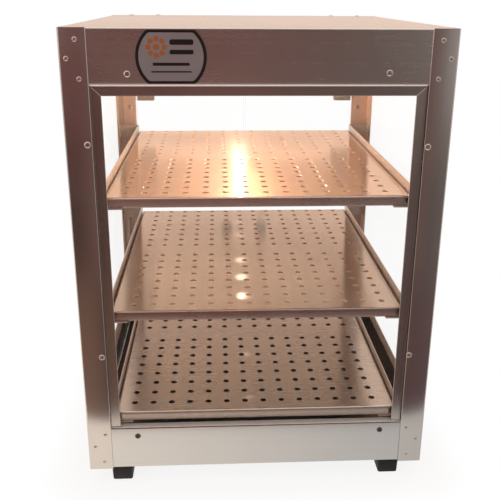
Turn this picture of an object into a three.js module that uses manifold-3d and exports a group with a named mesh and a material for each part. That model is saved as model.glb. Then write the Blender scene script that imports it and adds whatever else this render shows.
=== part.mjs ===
// Countertop heated display case: four angle posts carry a roof with its front header, a rear control panel,
// a base with a heating element, three perforated shelves on angle rails, clear glass on three sides and
// two pivoting glass doors at the rear. Millimetres, +Z up, front towards -Y.
// The origin is the middle of the footprint on the counter, with the rear knobs counted in the footprint.

import * as THREE from "three";
import { mergeVertices } from "three/addons/utils/BufferGeometryUtils.js";
import Module from "manifold-3d";

const wasm = await Module();
wasm.setup();

// Driving dimensions of the case.
const caseWidth = 457.2;
const caseDepth = 457.2;
const bodyHeight = 584.2;
const footHeight = 25.4;

// Sheet and clearances.
const postWall = 1.6;
const panelWall = 1.2;
const foldRadius = 2.4; // outside radius of every folded edge
const gap = 0.3; // between two pieces that lie against each other
const cornerGap = 0.7; // where a square edge stands in the inner corner of a fold
const overrun = 5; // how far a cutting tool runs past what it cuts

// Heights of the four bands round the case.
const postLeg = 31.75;
const headerHeight = 66;
const fasciaHeight = 63.5;
const sidePanelHeight = 76.2;
const controlPanelHeight = 127;
const foldLip = 10; // inward lip along the edge of a side panel
const controlPanelLip = 14;
const fasciaFootLip = 40; // wide lower lip that the feet are screwed to
const fasciaTopLip = 10.1; // carries the front glass
const roofDrop = 12;

// Glass and the trim that holds it.
const glassThickness = 4;
const trimWall = 1.6;
const trimFace = 12.7; // what shows of the side trim inside the opening
const trimTopFace = 11; // what shows of the top trim under the header
const trimHidden = 19; // what lies behind the posts and the header
const glassUnderTrim = 11;
const sideGlassUnderPost = 5.75;

// Shelves and their rails.
const shelfSideInset = 6.35; // from the edge of the opening between the posts
const shelfEndInset = 12.7; // from the front and the rear of the case
const shelfWall = 1.2;
const shelfFlange = 12.7;
const rackRise = 17.1; // surface of the bottom rack above the fascia
const lowerPitch = 148.9; // from the rack to the middle shelf
const upperPitch = 152.8; // from the middle shelf to the top shelf
const holePitch = 25.4;
const holeWidth = 7.4; // side of the square that stands for a round hole of 8.4
const holeGroupGap = 19.8; // extra distance between the two groups of rows
const firstHoleRow = 22.4; // behind the front edge of the shelf
const holeRearMargin = 8; // least plate left behind the last row
const holeSideMargin = 20; // least plate left beside the outer columns
const holeShift = -2.6; // the grid sits a little to the left, and to the right on the middle shelf, turned round
const railLeg = 25.4;
const railWall = 1.6;
const railSideClearance = 1.3;
const railFootLength = 12;

// Rear doors.
const doorInset = 2.3; // middle of the door glass in front of the rear of the case
const doorEdgeClearance = 1.55;
const doorMiddleGap = 3;
const clampWidth = 30.2;
const clampHeight = 17.9;
const clampDepth = 13;
const clampEndPastPin = 6;
const clampWeb = 2.2;
const pinRadius = 2.5;
const pinSides = 12;
const pivotFlangeClearance = 9.45; // from the pin to the edge of the rear post
const pivotPlateWall = 2.4;
const pivotPlateDepth = 14.8;
const pivotPlatePastPin = 6.4;
const doorKnobRadius = 12;
const doorKnobReach = 22;
const doorKnobFromEdge = 31.7;
const doorKnobRise = 12; // above the middle of the door
const doorKnobStemRadius = 3;
const doorKnobWasherRadius = 8;
const doorKnobWasherWall = 1.8;
const catchWidth = 46;
const catchDepth = 14.6;
const catchHeight = 7.6;

// Rear controls, with their places on the control panel.
const thermostatFromPost = 64.85; // middle of the dial from the edge of the right post
const controlSpacing = 40; // from the dial to the pilot light, and from that to the switch
const inletFromPost = 46.85; // from the edge of the left post
const controlRise = 64.8; // above the panel's lower edge
const dialRadius = 19;
const dialHeight = 17;
const dialSkirtRadius = 22;
const dialSkirtHeight = 4;
const dialPointerWidth = 3;
const dialPointerRise = 2.4;
const spindleRadius = 3;
const spindleHoleRadius = 5;
const spindleDepth = 14;
const thermostatWidth = 40;
const thermostatHeight = 44;
const thermostatDepth = 30;
const bezelWidth = 21;
const bezelHeight = 30;
const bezelRise = 2;
const switchBodyDepth = 20;
const switchBodyInset = 1.5;
const pocketDepth = 14;
const rockerWidth = 12.4;
const rockerHalfLength = 9.2;
const rockerRise = 1.5;
const rockerTilt = 10; // degrees each way
const rockerClearance = 0.9;
const pilotRadius = 6;
const pilotRise = 5;
const pilotBodyRadius = 4.5;
const pilotBodyDepth = 16;
const inletWidth = 48;
const inletHeight = 28;
const inletFlangeWall = 3;
const inletBodyWidth = 30;
const inletBodyHeight = 22;
const inletBodyDepth = 24;
const inletPocketWidth = 24.6;
const inletPocketHeight = 16.6;
const inletPocketDepth = 17;

// Control box, lamp and what is in the base.
const controlBoxDepth = 46;
const lampAxisDrop = 23; // below the ceiling
const bulbRadius = 15;
const bulbLength = 74;
const bulbBaseRadius = 8;
const bulbBaseLength = 22;
const holderRadius = 13;
const holderLength = 30;
const holderPlateWidth = 34;
const holderPlateWall = 2.5;
const holderNeckWidth = 14;
const elementRadius = 4.25;
const elementSideInset = 88.6; // middle of the outer legs from the sides of the case
const elementEndInset = 63.6; // from the front and rear of the case to the turns
const elementLegs = 6;
const elementRise = 17; // middle of the tube above the heat shield
const elementSides = 6;
const bendSteps = 5;
const shieldHeight = 12;
const shieldInset = 28.6; // from each side of the case
const bracketWall = 1.6;
const bracketFoot = 12;
const bracketInset = 45; // from the turns of the element
const bracketOverhang = 14;
const wiringCoverWidth = 9;

// Feet and badge.
const footWidth = 25.4;
const footTaper = 1.2; // each side, towards the counter
const footSideInset = 42.6; // middle of a foot from the side of the case
const footInset = 22.7; // middle of a foot from the front or rear plane
const badgeFromPost = 94.55; // middle of the badge from the edge of the left post
const badgeRise = 33.6; // above the header's lower edge
const badgeRadius = 40.6;
const badgeHalfHeight = 30.2;
const badgeWall = 1.2;
const roundSides = 24;

// Planes that several pieces share, in the case's own frame: x from the middle, y from the front plane,
// z from the body's underside.
const halfWidth = caseWidth / 2;
const openingHalf = halfWidth - postLeg;
const panelFront = postWall + gap; // outer face of the front panels, behind the posts
const panelRear = caseDepth - panelFront; // outer face of the rear panels
const panelSide = halfWidth - panelFront; // outer face of the side panels
const headerBottom = bodyHeight - headerHeight;
const controlBottom = bodyHeight - controlPanelHeight;
const trimFront = panelFront + foldRadius + gap;
const frontGlassFront = trimFront + trimWall + gap;
const frontGlassBack = frontGlassFront + glassThickness;
const sideGlassInner = panelSide - glassThickness;
const ceilingUnderside = headerBottom + panelWall + gap;
const boxUnderside = controlBottom + panelWall + gap;
const boxFront = panelRear - panelWall - controlBoxDepth;
const doorPlane = caseDepth - doorInset;
const doorRearFace = doorPlane + glassThickness / 2;
const doorFrontFace = doorPlane - glassThickness / 2;
const doorKnobRear = doorRearFace + doorKnobReach;
const dialRear = panelRear + gap + dialSkirtHeight + dialHeight;
const rearReach = Math.max(doorKnobRear, dialRear) - caseDepth;
const pinX = openingHalf - pivotFlangeClearance;
const shelfWidth = 2 * (openingHalf - shelfSideInset);
const shelfFront = shelfEndInset;
const shelfRear = caseDepth - shelfEndInset;
const lowestShelf = fasciaHeight + rackRise;
const thermostatX = openingHalf - thermostatFromPost;
const pilotX = thermostatX - controlSpacing;
const switchX = pilotX - controlSpacing;
const inletX = inletFromPost - openingHalf;
const controlHeight = controlBottom + controlRise;
const radians = Math.PI / 180;

// Finishes, as seen in the photograph.
function finish(color, roughness, metalness, extra = {}) {
  return new THREE.MeshStandardMaterial({ color, roughness, metalness, ...extra });
}

const postMetal = () => finish(0x9a8f89, 0.38, 1);
const panelMetal = () => finish(0xb3aaa4, 0.34, 1);
const roofMetal = () => finish(0xc9c1b8, 0.3, 1);
const trimMetal = () => finish(0x8d827d, 0.36, 1);
const shelfMetal = () => finish(0xc4b6a8, 0.32, 1);
const railMetal = () => finish(0xb8a99b, 0.35, 1);
const insideMetal = () => finish(0xbdb4aa, 0.45, 1);
const hardwareMetal = () => finish(0x8b8580, 0.28, 1);
const elementMetal = () => finish(0x5b5753, 0.5, 1);
const clearGlass = () => finish(0xeef4f2, 0.05, 0, { transparent: true, opacity: 0.25 });
const bulbGlass = () => finish(0xffe0b0, 0.2, 0, { transparent: true, opacity: 0.7 });
const blackPlastic = () => finish(0x1a1a1b, 0.5, 0);
const blackRubber = () => finish(0x151515, 0.75, 0);
const porcelain = () => finish(0xe9e4da, 0.3, 0);
const pilotLens = () => finish(0xd0451e, 0.25, 0);
const badgeFace = () => finish(0xa9a4a3, 0.4, 0.6);

// Outlines are lists of [u, v] pairs. A folded sheet's outline follows one face of the sheet, and its wall
// lies to the left of the walk. Each corner becomes an arc about one centre for both faces.
function foldedSheet(path, wall, radius = foldRadius, steps = 3) {
  const near = [];
  const far = [];
  path.forEach(([u, v], i) => {
    const before = path[i - 1] ?? path[i];
    const after = path[i + 1] ?? path[i];
    const arrive = new THREE.Vector2(u - before[0], v - before[1]).normalize();
    const leave = new THREE.Vector2(after[0] - u, after[1] - v).normalize();
    const isEnd = before === path[i] || after === path[i];
    const along = before === path[i] ? leave : arrive;
    const left = new THREE.Vector2(-along.y, along.x);
    if (isEnd) {
      near.push([u, v]);
      far.push([u + left.x * wall, v + left.y * wall]);
      return;
    }
    const turn = Math.atan2(arrive.cross(leave), arrive.dot(leave));
    const side = Math.sign(turn);
    const nearRadius = side > 0 ? radius : radius - wall;
    const reach = nearRadius * Math.tan(Math.abs(turn) / 2);
    const centreU = u - arrive.x * reach + side * left.x * nearRadius;
    const centreV = v - arrive.y * reach + side * left.y * nearRadius;
    for (let k = 0; k <= steps; k += 1) {
      const normal = left.clone().rotateAround(new THREE.Vector2(), (turn * k) / steps);
      const nearU = centreU - side * normal.x * nearRadius;
      const nearV = centreV - side * normal.y * nearRadius;
      near.push([nearU, nearV]);
      far.push([nearU + normal.x * wall, nearV + normal.y * wall]);
    }
  });
  return [...near, ...far.reverse()];
}

function toShape(outline, holes = []) {
  const shape = new THREE.Shape(outline.map(([u, v]) => new THREE.Vector2(u, v)));
  shape.holes = holes.map((hole) => new THREE.Path(hole.map(([u, v]) => new THREE.Vector2(u, v))));
  return shape;
}

function rectangle(u0, u1, v0, v1) {
  return [
    [u0, v0],
    [u1, v0],
    [u1, v1],
    [u0, v1],
  ];
}

function regularOutline(radius, sides, u = 0, v = 0) {
  return Array.from({ length: sides }, (_, k) => {
    const angle = (2 * Math.PI * (k + 1 / 2)) / sides;
    return [u + radius * Math.cos(angle), v + radius * Math.sin(angle)];
  });
}

// The three ways to carry an outline: up (its u, v are x, y), across (y, z) and towards the rear (x, z).
function upwards(outline, z0, z1, holes = []) {
  const geometry = new THREE.ExtrudeGeometry(toShape(outline, holes), { depth: z1 - z0, bevelEnabled: false });
  return geometry.translate(0, 0, z0);
}

function across(outline, x0, x1, holes = []) {
  const geometry = new THREE.ExtrudeGeometry(toShape(outline, holes), { depth: x1 - x0, bevelEnabled: false });
  return geometry.applyMatrix4(new THREE.Matrix4().set(0, 0, 1, x0, 1, 0, 0, 0, 0, 1, 0, 0, 0, 0, 0, 1));
}

function rearwards(outline, y0, y1, holes = []) {
  const geometry = new THREE.ExtrudeGeometry(toShape(outline, holes), { depth: y1 - y0, bevelEnabled: false });
  return geometry.rotateX(Math.PI / 2).translate(0, y1, 0);
}

function box(x0, x1, y0, y1, z0, z1) {
  return upwards(rectangle(x0, x1, y0, y1), z0, z1);
}

// A turned piece: the profile's [radius, height] pairs start and end on the axis.
function turned(profile, sides = roundSides) {
  return new THREE.LatheGeometry(
    profile.map(([radius, height]) => new THREE.Vector2(radius, height)),
    sides,
  );
}

// A lathe's own axis is Y: upright turns it to +Z.
function upright(geometry) {
  return geometry.rotateX(Math.PI / 2);
}

function toSolid(geometry) {
  const bare = geometry.clone();
  bare.deleteAttribute("normal");
  bare.deleteAttribute("uv");
  const merged = mergeVertices(bare);
  return new wasm.Manifold(
    new wasm.Mesh({
      numProp: 3,
      vertProperties: merged.attributes.position.array,
      triVerts: merged.index.array,
    }),
  );
}

function toGeometry(solid) {
  const { vertProperties, triVerts } = solid.getMesh();
  const indexed = new THREE.BufferGeometry();
  indexed.setAttribute("position", new THREE.BufferAttribute(vertProperties, 3));
  indexed.setIndex(new THREE.BufferAttribute(triVerts, 1));
  const geometry = indexed.toNonIndexed();
  geometry.computeVertexNormals();
  return geometry;
}

function joined(...geometries) {
  return toGeometry(geometries.map(toSolid).reduce((whole, piece) => whole.add(piece)));
}

function cutBy(geometry, ...tools) {
  return toGeometry(tools.map(toSolid).reduce((whole, tool) => whole.subtract(tool), toSolid(geometry)));
}

// The model: one group for the case, raised on its feet and centred over its footprint.
const heatedDisplayCase = new THREE.Group();
const body = new THREE.Group();
body.position.set(0, -(caseDepth + rearReach) / 2, footHeight);
heatedDisplayCase.add(body);

function add(name, geometry, material, x = 0, y = 0, z = 0) {
  const mesh = new THREE.Mesh(geometry, material);
  mesh.name = name;
  mesh.position.set(x, y, z);
  body.add(mesh);
  return mesh;
}

const sides = [
  ["left", -1],
  ["right", 1],
];

// Corner posts: folded angles that stand outside every panel.
function addPosts() {
  const frontRight = foldedSheet(
    [
      [halfWidth - postLeg, 0],
      [halfWidth, 0],
      [halfWidth, postLeg],
    ],
    postWall,
  );
  for (const [side, sign] of sides) {
    const front = frontRight.map(([x, y]) => [sign * x, y]);
    const rear = frontRight.map(([x, y]) => [sign * x, caseDepth - y]);
    add(`front_${side}_post`, upwards(front, 0, bodyHeight), postMetal());
    add(`rear_${side}_post`, upwards(rear, 0, bodyHeight), postMetal());
  }
}

// Roof and front header, one folded sheet with a rolled lower edge.
function addRoof() {
  const rearFace = panelRear - panelWall - gap;
  const outline = foldedSheet(
    [
      [rearFace, bodyHeight - roofDrop],
      [rearFace, bodyHeight],
      [panelFront, bodyHeight],
      [panelFront, headerBottom],
      [panelFront + foldRadius, headerBottom],
    ],
    panelWall,
    foldRadius,
    4,
  );
  add("roof_and_header", across(outline, -panelSide, panelSide), roofMetal());
}

// Side headers: an upper lip under the roof and a lower lip that the ceiling lies on.
function addSideHeaders() {
  const top = bodyHeight - panelWall - gap;
  const outline = foldedSheet(
    [
      [panelSide - foldLip, headerBottom],
      [panelSide, headerBottom],
      [panelSide, top],
      [panelSide - foldLip, top],
    ],
    panelWall,
  );
  const y0 = panelFront + foldRadius + gap;
  const y1 = panelRear - panelWall - gap - panelWall - cornerGap;
  for (const [side, sign] of sides) {
    const mirrored = outline.map(([x, z]) => [sign * x, z]);
    add(`${side}_header`, rearwards(mirrored, y0, y1), panelMetal());
  }
}

// Rear control panel with its cut-outs, between the rear posts' flanges and the roof's rear edge.
function addControlPanel() {
  const outline = foldedSheet(
    [
      [panelRear - controlPanelLip, controlBottom],
      [panelRear, controlBottom],
      [panelRear, bodyHeight],
    ],
    panelWall,
  );
  const y0 = panelRear - panelWall - overrun;
  const y1 = panelRear + overrun;
  const switchHalf = bezelWidth / 2 - switchBodyInset + gap;
  const switchTall = bezelHeight / 2 - switchBodyInset + gap;
  const inletHalf = inletBodyWidth / 2 + gap;
  const inletTall = inletBodyHeight / 2 + gap;
  const cutOuts = [
    regularOutline(spindleHoleRadius, pinSides, thermostatX, controlHeight),
    regularOutline(pilotBodyRadius + gap, pinSides, pilotX, controlHeight),
    rectangle(switchX - switchHalf, switchX + switchHalf, controlHeight - switchTall, controlHeight + switchTall),
    rectangle(inletX - inletHalf, inletX + inletHalf, controlHeight - inletTall, controlHeight + inletTall),
  ];
  const panel = across(outline, -panelSide, panelSide);
  const tools = cutOuts.map((cutOut) => rearwards(cutOut, y0, y1));
  add("rear_control_panel", cutBy(panel, ...tools), panelMetal());
}

// Ceiling of the heated space. Its rear drops into the control box, whose two ends it closes.
function addCeiling() {
  const half = panelSide - foldLip - gap;
  const ledgeHalf = sideGlassInner - gap;
  const front = frontGlassBack + gap;
  const rear = panelRear - panelWall - cornerGap;
  const top = ceilingUnderside + panelWall;
  const sheet = across(
    foldedSheet(
      [
        [front, ceilingUnderside],
        [boxFront, ceilingUnderside],
        [boxFront, boxUnderside],
        [rear, boxUnderside],
      ],
      panelWall,
    ),
    -half,
    half,
  );
  const ledge = box(-ledgeHalf, ledgeHalf, front, boxFront - foldRadius, ceilingUnderside, top);
  const ends = sides.map(([, sign]) => {
    const outer = sign * half;
    const inner = sign * (half - panelWall);
    return box(
      Math.min(outer, inner),
      Math.max(outer, inner),
      boxFront + panelWall / 2,
      rear,
      boxUnderside + panelWall / 2,
      top,
    );
  });
  add("ceiling_liner", joined(sheet, ledge, ...ends), insideMetal());
}

// Base: front and rear fascias with lips above and below, side panels, and the floor on the lower lips.
function addBase() {
  const half = panelSide - panelWall - gap;
  const outline = foldedSheet(
    [
      [panelFront + fasciaTopLip, fasciaHeight],
      [panelFront, fasciaHeight],
      [panelFront, 0],
      [panelFront + fasciaFootLip, 0],
    ],
    panelWall,
  );
  const mirrored = outline.map(([y, z]) => [caseDepth - y, z]);
  add("front_fascia", across(outline, -half, half), panelMetal());
  add("rear_fascia", across(mirrored, -half, half), panelMetal());

  const sideOutline = foldedSheet(
    [
      [panelSide, 0],
      [panelSide, sidePanelHeight],
      [panelSide - foldLip, sidePanelHeight],
    ],
    panelWall,
  );
  for (const [side, sign] of sides) {
    const outlineHere = sideOutline.map(([x, z]) => [sign * x, z]);
    add(`${side}_base_panel`, rearwards(outlineHere, panelFront, panelRear), panelMetal());
  }

  const floorBottom = panelWall + gap;
  const floorFront = panelFront + panelWall + cornerGap;
  add(
    "base_floor",
    box(-half, half, floorFront, caseDepth - floorFront, floorBottom, floorBottom + panelWall),
    insideMetal(),
  );
}

// Mitred trim round the front opening, and the front glass behind it.
function addFrontGlass() {
  const inner = openingHalf - trimFace;
  const outer = openingHalf + trimHidden;
  const lowest = fasciaHeight + gap;
  const innerTop = headerBottom - trimTopFace;
  const outerTop = headerBottom + trimHidden;
  const mitreGap = gap / 2;
  const stile = [
    [inner, lowest],
    [outer, lowest],
    [outer, outerTop - mitreGap],
    [inner, innerTop - mitreGap],
  ];
  const rail = [
    [-inner + mitreGap, innerTop],
    [inner - mitreGap, innerTop],
    [outer - mitreGap, outerTop],
    [-outer + mitreGap, outerTop],
  ];
  const back = trimFront + trimWall;
  for (const [side, sign] of sides) {
    const outline = stile.map(([x, z]) => [sign * x, z]);
    add(`${side}_trim`, rearwards(outline, trimFront, back), trimMetal());
  }
  add("top_trim", rearwards(rail, trimFront, back), trimMetal());
  const pane = openingHalf + glassUnderTrim;
  add(
    "front_glass",
    box(-pane, pane, frontGlassFront, frontGlassBack, lowest, headerBottom + glassUnderTrim),
    clearGlass(),
  );
}

// Side glass, between the side panel's lip and the side header's lip, behind the posts' side legs.
function addSideGlass() {
  const y0 = postLeg - sideGlassUnderPost;
  const z0 = sidePanelHeight + gap;
  const z1 = headerBottom - gap;
  for (const [side, sign] of sides) {
    const x0 = sign > 0 ? sideGlassInner : -panelSide;
    add(`${side}_glass`, box(x0, x0 + glassThickness, y0, caseDepth - y0, z0, z1), clearGlass());
  }
}

// One rail: an angle along the shelf's side whose ends turn out to feet on the posts' side legs.
function railGeometry(surface) {
  const inner = shelfWidth / 2 + railSideClearance;
  const outer = inner + railWall;
  const legTop = surface - shelfFlange - gap;
  const z0 = legTop - railWall;
  const z1 = z0 + railLeg;
  const y0 = frontGlassBack + gap;
  const y1 = shelfRear;
  const angle = foldedSheet(
    [
      [outer - railLeg, z0],
      [outer, z0],
      [outer, z1],
    ],
    railWall,
  );
  const middleOfWall = outer - railWall / 2;
  const footInner = panelSide - railWall;
  const footLow = Math.max(z0 + foldRadius, sidePanelHeight + gap);
  return joined(
    rearwards(angle, y0, y1),
    box(middleOfWall, panelSide, y0, y0 + railWall, footLow, z1),
    box(footInner, panelSide, y0, y0 + railFootLength, footLow, z1),
    box(middleOfWall, panelSide, y1 - railWall, y1, footLow, z1),
    box(footInner, panelSide, y1 - railFootLength, y1, footLow, z1),
  );
}

// One shelf: a shallow tray turned over, a perforated plate with a flange folded down on each side.
function shelfGeometry(surface, shift) {
  const half = shelfWidth / 2;
  const low = surface - shelfFlange;
  const under = surface - shelfWall;
  const innerHalf = half - shelfWall;
  const innerFront = shelfFront + shelfWall;
  const innerRear = shelfRear - shelfWall;
  const hollow = box(-innerHalf, innerHalf, innerFront, innerRear, low - overrun, under);
  const columnsSpan = shelfWidth - 2 * holeSideMargin;
  const holeColumns = Math.floor(columnsSpan / holePitch) + 1;
  const rowsSpan = shelfRear - shelfFront - firstHoleRow - holeRearMargin - holeGroupGap + holePitch;
  const holeRowsInGroup = Math.floor(rowsSpan / (2 * holePitch));
  const holes = [];
  for (let column = 0; column < holeColumns; column += 1) {
    for (let row = 0; row < 2 * holeRowsInGroup; row += 1) {
      const x = shift + (column - (holeColumns - 1) / 2) * holePitch;
      const extra = row < holeRowsInGroup ? 0 : holeGroupGap;
      const y = shelfFront + firstHoleRow + row * holePitch + extra;
      const r = holeWidth / 2;
      holes.push(box(x - r, x + r, y - r, y + r, low, surface + overrun));
    }
  }
  return cutBy(box(-half, half, shelfFront, shelfRear, low, surface), hollow, ...holes);
}

function addShelves() {
  const levels = [
    ["bottom", "bottom_rack"],
    ["middle", "middle_shelf"],
    ["top", "top_shelf"],
  ];
  levels.forEach(([level, shelfName], i) => {
    const surface = lowestShelf + Math.min(i, 1) * lowerPitch + Math.max(i - 1, 0) * upperPitch;
    const shift = level === "middle" ? -holeShift : holeShift;
    add(shelfName, shelfGeometry(surface, shift), shelfMetal());
    const right = railGeometry(surface);
    add(`right_${level}_rail`, right, railMetal());
    const turnedRound = right.clone().rotateZ(Math.PI);
    const mirrorLine = frontGlassBack + gap + shelfRear;
    add(`left_${level}_rail`, turnedRound, railMetal(), 0, mirrorLine, 0);
  });
}

// A pivot clamp: a block whose slot takes the corner of the door glass, with the pivot pin on its outer side.
// It is drawn about its pin, with the door to the right and the pin upwards.
function clampGeometry() {
  const x0 = -clampEndPastPin;
  const x1 = clampWidth - clampEndPastPin;
  const slot = glassThickness / 2 + gap;
  const pinLength = gap + gap + pivotPlateWall + gap;
  const block = box(x0, x1, -clampDepth / 2, clampDepth / 2, -clampHeight, 0);
  const slotTool = box(x0 - overrun, x1 + overrun, -slot, slot, -clampHeight - overrun, -clampWeb);
  const pin = upwards(regularOutline(pinRadius, pinSides), -clampWeb / 2, pinLength);
  return joined(cutBy(block, slotTool), pin);
}

// A pivot plate, drawn about its pin hole, with its outer edge to the left.
function pivotPlateGeometry() {
  const y0 = -pivotPlateDepth / 2;
  const hole = regularOutline(pinRadius + gap, pinSides);
  const outline = rectangle(-pivotPlatePastPin, clampWidth - clampEndPastPin, y0, -y0);
  return upwards(outline, 0, pivotPlateWall, [hole]);
}

// The two rear doors: glass, two clamps and a knob each, and the plates that their pins turn in.
function addDoors() {
  const plateLow = fasciaHeight + gap;
  const clampLow = plateLow + pivotPlateWall + gap + gap;
  const plateHigh = controlBottom - gap - pivotPlateWall;
  const clampHigh = plateHigh - gap - gap;
  const z0 = clampLow + clampWeb + gap;
  const z1 = clampHigh - clampWeb - gap;
  const outer = openingHalf - doorEdgeClearance;
  const inner = doorMiddleGap / 2;
  const knobX = inner + doorKnobFromEdge;
  const knobHeight = (fasciaHeight + controlBottom) / 2 + doorKnobRise;
  for (const [side, sign] of sides) {
    const x0 = Math.min(sign * inner, sign * outer);
    const x1 = Math.max(sign * inner, sign * outer);
    const hole = regularOutline(doorKnobStemRadius + gap, pinSides, sign * knobX, knobHeight);
    const pane = rearwards(rectangle(x0, x1, z0, z1), doorFrontFace, doorRearFace, [hole]);
    add(`${side}_door_glass`, pane, clearGlass());

    // Turning a clamp over about Y puts its pin below and swaps its sides.
    const upper = clampGeometry();
    const lower = clampGeometry();
    if (sign > 0) upper.rotateZ(Math.PI);
    else lower.rotateX(Math.PI);
    if (sign > 0) lower.rotateY(Math.PI);
    add(`${side}_upper_clamp`, upper, hardwareMetal(), sign * pinX, doorPlane, clampHigh);
    add(`${side}_lower_clamp`, lower, hardwareMetal(), sign * pinX, doorPlane, clampLow);

    const upperPlate = pivotPlateGeometry();
    const lowerPlate = pivotPlateGeometry();
    if (sign > 0) {
      upperPlate.rotateZ(Math.PI);
      lowerPlate.rotateZ(Math.PI);
    }
    add(`${side}_upper_pivot_plate`, upperPlate, hardwareMetal(), sign * pinX, doorPlane, plateHigh);
    add(`${side}_lower_pivot_plate`, lowerPlate, hardwareMetal(), sign * pinX, doorPlane, plateLow);
    add(`${side}_door_knob`, doorKnobGeometry(), hardwareMetal(), sign * knobX, doorPlane, knobHeight);
  }
}

// A knob turned with its stem and inner washer, along +Y from the middle of the glass.
function doorKnobGeometry() {
  const face = glassThickness / 2 + gap;
  const end = glassThickness / 2 + doorKnobReach;
  const neckRadius = (doorKnobRadius + doorKnobStemRadius) / 2;
  return turned([
    [0, -face - doorKnobWasherWall],
    [doorKnobWasherRadius, -face - doorKnobWasherWall],
    [doorKnobWasherRadius, -face],
    [doorKnobStemRadius, -face],
    [doorKnobStemRadius, face],
    [neckRadius, face],
    [neckRadius, (face + end) / 2],
    [doorKnobRadius, (face + 2 * end) / 3],
    [doorKnobRadius, end - foldRadius],
    [doorKnobRadius - foldRadius, end],
    [0, end],
  ], pinSides);
}

// Magnetic catch for both doors, under the control panel's lip.
function addCatch() {
  const top = controlBottom - gap;
  const rear = doorFrontFace - gap;
  add(
    "door_catch",
    box(-catchWidth / 2, catchWidth / 2, rear - catchDepth, rear, top - catchHeight, top),
    blackPlastic(),
  );
}

// Thermostat behind the panel, and its dial, whose spindle runs through the panel into the thermostat.
function addThermostat() {
  const face = panelRear - panelWall - gap;
  const block = rearwards(
    rectangle(-thermostatWidth / 2, thermostatWidth / 2, -thermostatHeight / 2, thermostatHeight / 2),
    face - thermostatDepth,
    face,
  );
  const socket = rearwards(
    regularOutline(spindleRadius + gap, pinSides),
    face - spindleDepth - overrun,
    face + overrun,
  );
  add("thermostat", cutBy(block, socket), blackPlastic(), thermostatX, 0, controlHeight);

  const seat = gap;
  const top = seat + dialSkirtHeight + dialHeight;
  const spindle = panelWall + gap + spindleDepth;
  const dial = turned([
    [0, -spindle],
    [spindleRadius, -spindle],
    [spindleRadius, seat],
    [dialSkirtRadius, seat],
    [dialSkirtRadius, seat + dialSkirtHeight],
    [dialRadius, seat + dialSkirtHeight],
    [dialRadius - foldRadius / 2, top - foldRadius],
    [dialRadius - foldRadius - foldRadius / 2, top],
    [0, top],
  ]);
  const pointer = rearwards(
    rectangle(-dialPointerWidth / 2, dialPointerWidth / 2, 0, dialRadius + dialPointerRise),
    seat + dialSkirtHeight / 2,
    top - foldRadius,
  );
  add("thermostat_knob", joined(dial, pointer), blackPlastic(), thermostatX, panelRear, controlHeight);
}

// Rocker switch: housing with its bezel and pocket, and the rocker, which rests tilted to one side.
function addSwitch() {
  const bodyHalf = bezelWidth / 2 - switchBodyInset;
  const bodyTall = bezelHeight / 2 - switchBodyInset;
  const pocketHalf = rockerWidth / 2 + gap;
  const pocketTall = rockerHalfLength + rockerClearance;
  const housing = joined(
    rearwards(rectangle(-bezelWidth / 2, bezelWidth / 2, -bezelHeight / 2, bezelHeight / 2), gap, gap + bezelRise),
    rearwards(rectangle(-bodyHalf, bodyHalf, -bodyTall, bodyTall), -switchBodyDepth, gap + bezelRise / 2),
  );
  const pocket = rearwards(
    rectangle(-pocketHalf, pocketHalf, -pocketTall, pocketTall),
    -pocketDepth,
    bezelRise + overrun,
  );
  add("switch_housing", cutBy(housing, pocket), blackPlastic(), switchX, panelRear, controlHeight);

  const rise = rockerRise + rockerHalfLength * Math.tan(rockerTilt * radians);
  const lower = Array.from({ length: bendSteps + 1 }, (_, k) => {
    const angle = Math.PI + (Math.PI * k) / bendSteps;
    return [rockerHalfLength * Math.sin(angle), rockerHalfLength * Math.cos(angle)];
  });
  const profile = [...lower, [rise, rockerHalfLength], [rockerRise, 0], [rise, -rockerHalfLength]];
  const rocker = across(profile, -rockerWidth / 2, rockerWidth / 2).rotateX(-rockerTilt * radians);
  add("power_rocker", rocker, blackPlastic(), switchX, panelRear, controlHeight);
}

function addPilotLight() {
  const lamp = turned([
    [0, -pilotBodyDepth],
    [pilotBodyRadius, -pilotBodyDepth],
    [pilotBodyRadius, gap],
    [pilotRadius, gap],
    [pilotRadius, pilotRise / 2],
    [pilotBodyRadius, pilotRise - gap],
    [0, pilotRise],
  ], pinSides);
  add("pilot_light", lamp, pilotLens(), pilotX, panelRear, controlHeight);
}

// Power inlet: a flanged housing with its socket.
function addInlet() {
  const flange = rectangle(-inletWidth / 2, inletWidth / 2, -inletHeight / 2, inletHeight / 2);
  const shell = rectangle(-inletBodyWidth / 2, inletBodyWidth / 2, -inletBodyHeight / 2, inletBodyHeight / 2);
  const mouth = rectangle(
    -inletPocketWidth / 2,
    inletPocketWidth / 2,
    -inletPocketHeight / 2,
    inletPocketHeight / 2,
  );
  const front = gap + inletFlangeWall;
  const floor = front - inletPocketDepth;
  const housing = cutBy(
    joined(rearwards(flange, gap, front), rearwards(shell, -inletBodyDepth, front - inletFlangeWall / 2)),
    rearwards(mouth, floor, front + overrun),
  );
  add("power_inlet", housing, blackPlastic(), inletX, panelRear, controlHeight);
}

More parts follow.
